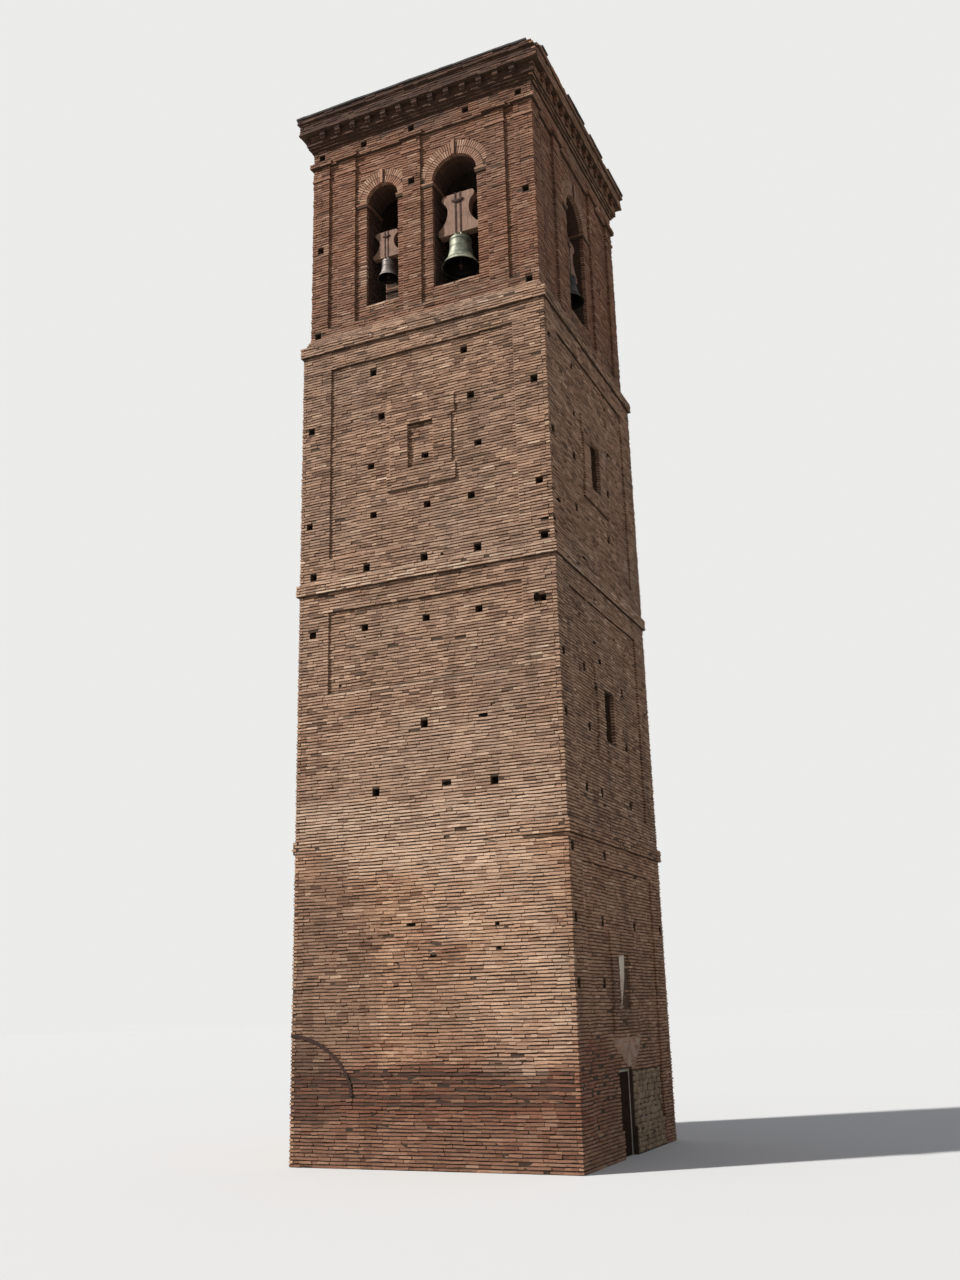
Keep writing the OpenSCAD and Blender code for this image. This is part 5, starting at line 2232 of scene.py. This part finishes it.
@dataclass(frozen=True)
class Studio:
    """Pale floor, plain sky light, a soft sun from the front left, and the camera."""

    eye: tuple[float, float, float] = (11.89, -27.10, 3.05)
    yaw: float = math.radians(23.72)
    pitch: float = math.radians(17.0)
    roll: float = math.radians(-1.53)
    lens: float = 34.2
    to_sun: tuple[float, float, float] = (-0.569, -0.478, 0.669)
    sun_power: float = 4.4
    sun_width: float = math.radians(2.5)
    sky_power: float = 0.3  # of the light that falls on the tower
    paper_power: float = 0.95  # of the backdrop that the camera sees

    def floor(self) -> None:
        """Wide floor whose paleness only the camera sees, so that it throws little light up."""
        obj = start(
            bpy.ops.mesh.primitive_circle_add, "studio_floor", vertices=96, radius=400,
            fill_type="NGON",
        )
        material = bpy.data.materials.new("studio_floor_paper")
        material.use_nodes = True
        tree = material.node_tree
        shader = tree.nodes["Principled BSDF"]
        shader.inputs["Roughness"].default_value = 1.0
        seen = put(tree, "ShaderNodeLightPath").outputs["Is Camera Ray"]
        greys = {"Factor": seen, "A": "#9a9791", "B": "#d6d8da"}
        tone = put(tree, "ShaderNodeMix", greys, data_type="RGBA")
        tree.links.new(tone.outputs[2], shader.inputs["Base Color"])
        obj.data.materials.append(material)

    def sky(self) -> None:
        """Plain light from all round, and a pale backdrop where the camera looks past."""
        world = bpy.data.worlds.new("studio_sky")
        bpy.context.scene.world = world
        world.use_nodes = True
        tree = world.node_tree
        tree.nodes.clear()
        path = put(tree, "ShaderNodeLightPath")
        rays = {0: path.outputs["Is Camera Ray"], 1: path.outputs["Is Glossy Ray"]}
        seen = put(tree, "ShaderNodeMath", rays, operation="MAXIMUM")
        light = put(tree, "ShaderNodeBackground", {"Color": "#f2f4fa", "Strength": self.sky_power})
        paper = put(tree, "ShaderNodeBackground", {"Color": "#f1f1ef", "Strength": self.paper_power})
        both = put(tree, "ShaderNodeMixShader", {0: seen, 1: light, 2: paper})
        put(tree, "ShaderNodeOutputWorld", {"Surface": both})

    def sun(self) -> None:
        """Afternoon sun that grazes the front wall and leaves the right wall in shade."""
        light = bpy.data.lights.new("sun", "SUN")
        light.energy = self.sun_power
        light.angle = self.sun_width
        light.color = (1.0, 0.965, 0.91)
        obj = bpy.data.objects.new("sun", light)
        obj.rotation_euler = Vector(self.to_sun).to_track_quat("Z", "Y").to_euler()
        obj.location = (-20, -18, 30)
        bpy.context.scene.collection.objects.link(obj)

    def camera(self) -> None:
        """Camera at the photographer's height, turned so that the tower fills the picture."""
        cos, sin = math.cos(self.pitch), math.sin(self.pitch)
        ahead = Vector((-math.sin(self.yaw) * cos, math.cos(self.yaw) * cos, sin))
        right = Vector((math.cos(self.yaw), math.sin(self.yaw), 0))
        up = right.cross(ahead)
        across = math.cos(self.roll) * right + math.sin(self.roll) * up
        above = math.cos(self.roll) * up - math.sin(self.roll) * right
        data = bpy.data.cameras.new("camera")
        data.lens = self.lens
        data.clip_end = 900
        obj = bpy.data.objects.new("camera", data)
        obj.matrix_world = (
            Matrix.Translation(self.eye) @ Matrix((across, above, -ahead)).transposed().to_4x4()
        )
        bpy.context.scene.collection.objects.link(obj)
        bpy.context.scene.camera = obj

    def build(self) -> None:
        """Sets up the studio."""
        self.floor()
        self.sky()
        self.sun()
        self.camera()
        bpy.context.scene.view_settings.view_transform = "Standard"


# The tower


def marks(kind: Weather, *spots: tuple[float, ...]) -> list[Mark]:
    """Marks of one kind from their place, half sizes and strength."""
    return [Mark(kind, *spot) for spot in spots]


def edges(z0: float, z1: float, strength: float) -> list[Mark]:
    """Worn arrises at both ends of a face.

    Args:
        z0: Foot of the face.
        z1: Top of the face.
        strength: How worn they are.

    Returns:
        The two marks.
    """
    middle, half = (z0 + z1) / 2, (z1 - z0) / 2 + 1
    return marks(
        Weather.WORN, (-HALF, middle, 0.16, half, strength), (HALF, middle, 0.16, half, strength)
    )


# putlog holes by storey: the height of each row and the places along it
FRONT_HOLES = {
    "middle": ((11.75, (-2.92, -1.53, 0.08, 1.41, 2.97)), (9.25, (0.02,)), (7.81, (-1.21, 1.69))),
    "upper": (
        (18.41, (-1.3, 1.19)),
        (17.16, (-3.05, -1.08, 1.34, 2.99)),
        (15.87, (-1.37, 0.09, 1.5)),
        (14.56, (-3.06, -1.3, 0.145, 1.29, 3.01)),
        (13.225, (-2.93, -1.46, 0.07, 1.44, 3.08)),
    ),
    "belfry": ((23.79, (-0.225,)), (22.5, (-2.935, 2.935)), (19.932, (-2.98, 2.93))),
    "entablature": ((25.432, (-2.93, -1.64, -0.22, 1.36, 2.84)),),
}
SIDE_HOLES = {
    "lower": ((6.32, (-3.07, -0.98)), (4.85, (-3.07, -1.22, 1.1, 3.07)), (3.55, (-3.07, -1.31))),
    "middle": ((10.55, (-3.05, -1.56, 1.25)), (9.18, (-3.07, -1.4, 1.35)), (7.75, (-1.8, -0.75, 1.43))),
    "upper": (
        (18.4, (-3.05, -1.35, 1.2)),
        (17.1, (-1.35, 1.28)),
        (15.9, (-3.05, -1.47, 1.1)),
        (14.53, (-1.51, 0.9)),
    ),
    "belfry": ((22.5, (1.9,)),),
}


def hole_plan(name: str) -> dict[Side, list[Region]]:
    """Square putlog holes of one storey on all four faces.

    Args:
        name: Name of the storey.

    Returns:
        The holes by face, where nothing is laid.
    """
    plan = {}
    for side in Side:
        rows = (FRONT_HOLES if side.runs_to_corner else SIDE_HOLES).get(name, ())
        plan[side] = [Region(u - HOLE, u + HOLE, z - HOLE, z + HOLE) for z, row in rows for u in row]
    return plan


def shaft(mason: Mason, colours: Palette) -> None:
    """Three storeys of the shaft with their string courses.

    Args:
        mason: Lays the bricks.
        colours: All finishes.
    """
    dark, red, pale, worn, gone = Weather
    three = (Side.RIGHT, Side.BACK, Side.LEFT)
    front_low = [
        *marks(gone, (0.9, 3.73, 0.4, 0.02, 0.5)),
        *marks(worn, (-2.3, 4.75, 0.3, 0.25, 0.5), (0, 1.6, 4, 0.5, 0.4), (0, 0.6, 4, 0.9, 0.25),
               (-0.2, 4.3, 1.3, 0.6, 0.3), (2.2, 2.3, 0.8, 0.5, 0.4), (1.7, 4.8, 0.35, 0.2, 0.5)),
        *marks(red, (0, 1.45, 20, 0.62, 0.85), (0, 0.4, 20, 1.9, 0.55), (0.1, 4.4, 0.9, 0.5, 0.3),
               (0.9, 2.4, 2.9, 0.5, 0.3), (0, 4, 20, 20, 0.08)),
        *marks(dark, (0.2, 1.87, 20, 0.04, 1.1), (0.4, 1.69, 20, 0.04, 1.1), (-9, 1.62, 9, 0.04, 1.1),
               (9, 1.55, 9.4, 0.04, 1.1), (0, 1.4, 20, 0.04, 1.0), (6, 1.26, 9, 0.04, 1.0),
               (0, 1.5, 20, 0.55, 0.4), (0, 0.3, 20, 1.0, 0.4), (-3.0, 1.6, 1.25, 0.95, 0.75),
               (-2.6, 4.2, 1.5, 2.2, 0.4)),
        *marks(pale, (2.38, 1.9, 0.2, 0.12), (2.3, 3.3, 1.3, 1.6, 0.55), (0.6, 4.6, 0.3, 0.2, 0.6),
               (-0.9, 6.4, 1.7, 0.5, 0.95), (0.9, 6.25, 1.9, 0.6, 0.85), (2.0, 5.4, 1.2, 0.9, 0.5),
               (0.9, 5.2, 1.0, 0.6, 0.5), (1.86, 4.87, 0.1, 0.07, 1.0), (0.12, 4.27, 0.1, 0.05, 0.9),
               (0.95, 3.79, 0.34, 0.04, 0.8)),
        *edges(0, 7, 0.35),
    ]
    right_low = [
        *marks(red, (-2.2, 1.5, 1.9, 1.0, 1.0), (0, 1.0, 6, 1.2, 0.5), (0, 9, 30, 30, 0.2)),
        *marks(worn, (-2.0, 1.6, 1.5, 0.8, 0.7), (-0.2, 3.45, 0.95, 0.9, 0.6)),
        *marks(dark, (-0.2, 3.45, 0.85, 0.8, 0.45), (-0.1, 2.68, 0.9, 0.05, 0.8),
               (0, 0.3, 4, 0.9, 0.1)),
        *marks(pale, (2.95, 4.4, 0.16, 0.3, 0.8), (0, 3, 30, 30, 0.08), (-2.0, 1.4, 1.6, 0.8, 0.2)),
        *edges(0, 7, 0.4),
    ]
    front_middle = [
        *marks(gone, (3.0, 11.78, 0.2, 0.08, 0.8), (-2.95, 11.85, 0.12, 0.1, 0.9),
               (1.74, 7.86, 0.14, 0.05, 0.9)),
        *marks(pale, (-2.6, 9.63, 0.9, 0.045, 0.5), (-1.35, 10.22, 1.4, 0.045, 1.0),
               (1.1, 10.24, 1.5, 0.045, 0.9), (2.8, 10.36, 0.5, 0.045, 0.7),
               (-2.7, 7.3, 1.0, 0.45, 1.0), (-1.2, 7.1, 1.4, 0.65, 1.0),
               (0.6, 7.1, 1.9, 0.6, 0.95), (2.4, 7.4, 1.3, 0.7, 0.7),
               (0.4, 8.4, 3.2, 1.1, 0.45), (0.6, 11.2, 3.4, 0.9, 0.12)),
        *marks(red, (0, 7, 20, 1.6, 0.12)),
        *edges(7, 13, 0.35),
    ]
    Storey(
        "lower", 0.0, LOWER_TOP, sill=3.06, window_h=1.14,
        tall_fields=three, open_windows=(), blind_windows=(Side.BACK, Side.LEFT),
        holes=hole_plan("lower"),
        extra={
            Side.RIGHT: [
                Region(-WINDOW, WINDOW, 3.06, 4.2, HALF - 0.055),
                Region(-0.645, 0.285, -1, 1.78),
                Region(0.3, 2.5, -1, 1.76),
            ]
        },
        marks={
            Side.FRONT: front_low,
            Side.RIGHT: right_low,
            Side.BACK: marks(red, (0.5, 1.3, 3.5, 0.6, 0.6)) + edges(0, 7, 0.3),
            Side.LEFT: marks(red, (-0.5, 1.2, 3.5, 0.6, 0.6)) + edges(0, 7, 0.3),
        },
        tone=0.54,
        crust=1.0,
    ).build(mason, colours.lower)
    Band(
        "lower_string_bricks", LOWER_TOP, (STRING_OUT,) * 4,
        ends={Side.FRONT: (-HALF, STRING_OUT), Side.LEFT: (-STRING_OUT, HALF)},
        regions={Side.FRONT: [Region(-HALF, 2.27, 0, ABOVE, HALF)]},
        marks={Side.FRONT: marks(pale, (-0.4, 6.7, 2.7, 0.5, 0.9))},
        tone=0.52, worn=0.25,
    ).build(mason, colours.lower)
    Storey(
        "middle", MIDDLE_Z, MIDDLE_TOP, sill=2.19, window_h=1.23,
        tall_fields=three, open_windows=(Side.RIGHT, Side.LEFT), blind_windows=(Side.BACK,),
        short_field_z=10.268,
        holes=hole_plan("middle"),
        marks={
            Side.FRONT: front_middle,
            Side.RIGHT: edges(7, 13, 0.4),
        },
        tone=0.5,
    ).build(mason, colours.shaft)
    Band(
        "middle_string_bricks", MIDDLE_TOP, (STRING_OUT,) * 4, tone=0.72, worn=0.3
    ).build(mason, colours.shaft)
    Storey(
        "upper", UPPER_Z, UPPER_TOP, sill=2.44, window_h=1.34,
        tall_fields=tuple(Side), open_windows=(Side.RIGHT, Side.LEFT),
        blind_windows=(Side.FRONT, Side.BACK),
        blind_notch=0.09,
        holes=hole_plan("upper"),
        marks={
            Side.FRONT: edges(13, 19.5, 0.35)
            + marks(pale, (0, 14.1, 4, 1.2, 0.12), (-0.3, 13.09, 3.2, 0.04, 0.7)),
            Side.RIGHT: edges(13, 19.5, 0.4),
        },
        tone=0.46,
    ).build(mason, colours.shaft)


def belfry_stage(mason: Mason, colours: Palette) -> None:
    """Ledge, belfry, entablature and cornice.

    Args:
        mason: Lays the bricks.
        colours: All finishes.
    """
    slope = tuple(HALF - 0.03125 * (i + 0.5) for i in range(4))
    Band(
        "belfry_ledge_bricks", UPPER_TOP, (STRING_OUT,) * 4 + slope, tone=0.5, worn=0.35
    ).build(mason, colours.shaft)
    worn = [
        *marks(Weather.WORN, (0, 20.2, 3.4, 0.28, 0.5)),
        *marks(Weather.GONE, (-0.35, 20.36, 0.05, 0.1, 0.8), (0.28, 20.3, 0.06, 0.09, 0.8)),
        *edges(20, 26, 0.3),
    ]
    sunny = [
        *marks(Weather.PALE, (-1.64, 21.7, 0.06, 0.9, 0.8), (-1.12, 20.5, 0.55, 0.07, 0.9),
               (0.97, 20.5, 0.7, 0.06, 0.6), (0.6, 20.1, 1.4, 0.12, 0.35)),
        *marks(Weather.GONE, (2.8, 22.5, 0.06, 0.05), (2.79, 19.93, 0.07, 0.05),
               (-2.86, 19.93, 0.06, 0.05)),
    ]
    sunny += marks(Weather.DARK, (-0.225, 22.3, 0.32, 2.9, 0.16), (0.4, 24.7, 2.6, 0.5, 0.12))
    belfry = Belfry(
        holes=hole_plan("belfry"),
        marks={side: worn + (sunny if side is Side.FRONT else []) for side in Side},
    )
    belfry.build(mason, colours.belfry)
    step = (CORNICE_Z - ENTABLATURE_Z) / 8
    high = ENTABLATURE_Z + 2 * step
    flat = {
        side: [Region(a + 0.08, b - 0.08, 0, high, HALF_B) for a, b in belfry.bays(side)] + found
        for side, found in hole_plan("entablature").items()
    }
    # dirt and painted shade on the sunlit front and left, painted light on the shaded right and back of
    # the entablature and cornice
    cornice_dirt_and_painted_light = {
        side: marks(Weather.DARK, (0, ENTABLATURE_Z, 30, 0.9, 0.3), (0, 26.2, 30, 0.75, 1.1))
        + marks(Weather.RED, (0, 26.2, 30, 0.75, 0.12))
        for side in (Side.FRONT, Side.LEFT)
    } | {side: marks(Weather.PALE, (0, 26.2, 30, 0.75, 0.27)) for side in (Side.RIGHT, Side.BACK)}
    Band(
        "entablature_bricks", ENTABLATURE_Z, (HALF_B + 0.08,) * 2 + (HALF_B,) * 6, step,
        regions=flat, marks=cornice_dirt_and_painted_light, tone=0.5,
    ).build(mason, colours.belfry)
    last, top = ROOF_Z - 2 * COURSE, ROOF_Z - COURSE  # feet of the two highest courses
    broken = {
        Side.RIGHT: [
            Region(-EAVE, -3.365, last, top, EAVE - 0.09),
            Region(-EAVE, -3.225, top, ROOF_Z, EAVE - 0.16),
        ],
        Side.FRONT: [
            Region(EAVE - 0.09, EAVE, last, top),
            Region(EAVE - 0.16, EAVE, top, ROOF_Z),
        ],
    }
    Cornice().build(mason, colours.belfry, broken, cornice_dirt_and_painted_light)
    CoverSlabs().build(mason, colours.slab)


def bells() -> tuple[Bell, ...]:
    """Where the three bells hang and how big they are.

    Returns:
        The bells.
    """
    line = HALF_B - 0.37  # how far out the axles lie
    return (
        Bell("great_bell", (0.973, -line, 22.172), 0.0, 1.0, 0.8, 1.13, 1.19, 0.3),
        Bell("small_bell", (-1.12, -line, 22.052), 0.0, 0.55, 0.5, 0.8, 0.78),
        Bell("side_bell", (line, 0.0, 22.132), math.pi / 2, 0.9, 0.72, 1.22, 1.1, 0.2),
    )


def main() -> None:
    """Builds the tower piece by piece."""
    logging.basicConfig(level=logging.INFO, format="%(name)s %(message)s")
    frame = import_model()
    colours = Palette()
    colours.paint_frame(frame["nodes"])
    mason = Mason()
    shaft(mason, colours)
    Rubble().build(mason, colours.rubble)
    Patch(
        "window_plaster", Side.RIGHT,
        ((-0.34, 4.19), (0.1, 4.19), (0.02, 3.75), (-0.12, 3.3), (-0.2, 3.07), (-0.34, 3.07)),
        HALF - 0.022, 0.03,
    ).build(colours.plaster)
    Patch(
        "smeared_plaster", Side.RIGHT,
        ((-0.95, 2.42), (1.12, 2.45), (0.8, 2.1), (0.5, 1.79), (0.0, 1.8), (-0.5, 2.1)),
        FIELD + 0.018,
    ).build(colours.smear)
    LeanToScar().build(colours.scar)
    for side, spots in FALLEN.items():
        Hollows(side, spots).build(colours.hollow)
    belfry_stage(mason, colours)
    TileRoof().build(mason, colours.tile, colours.plaster)
    mason.put_away()
    for bell in bells():
        bell.build(colours)
    Door().build(colours.door)
    Studio().build()


if __name__ == "__main__":
    main()
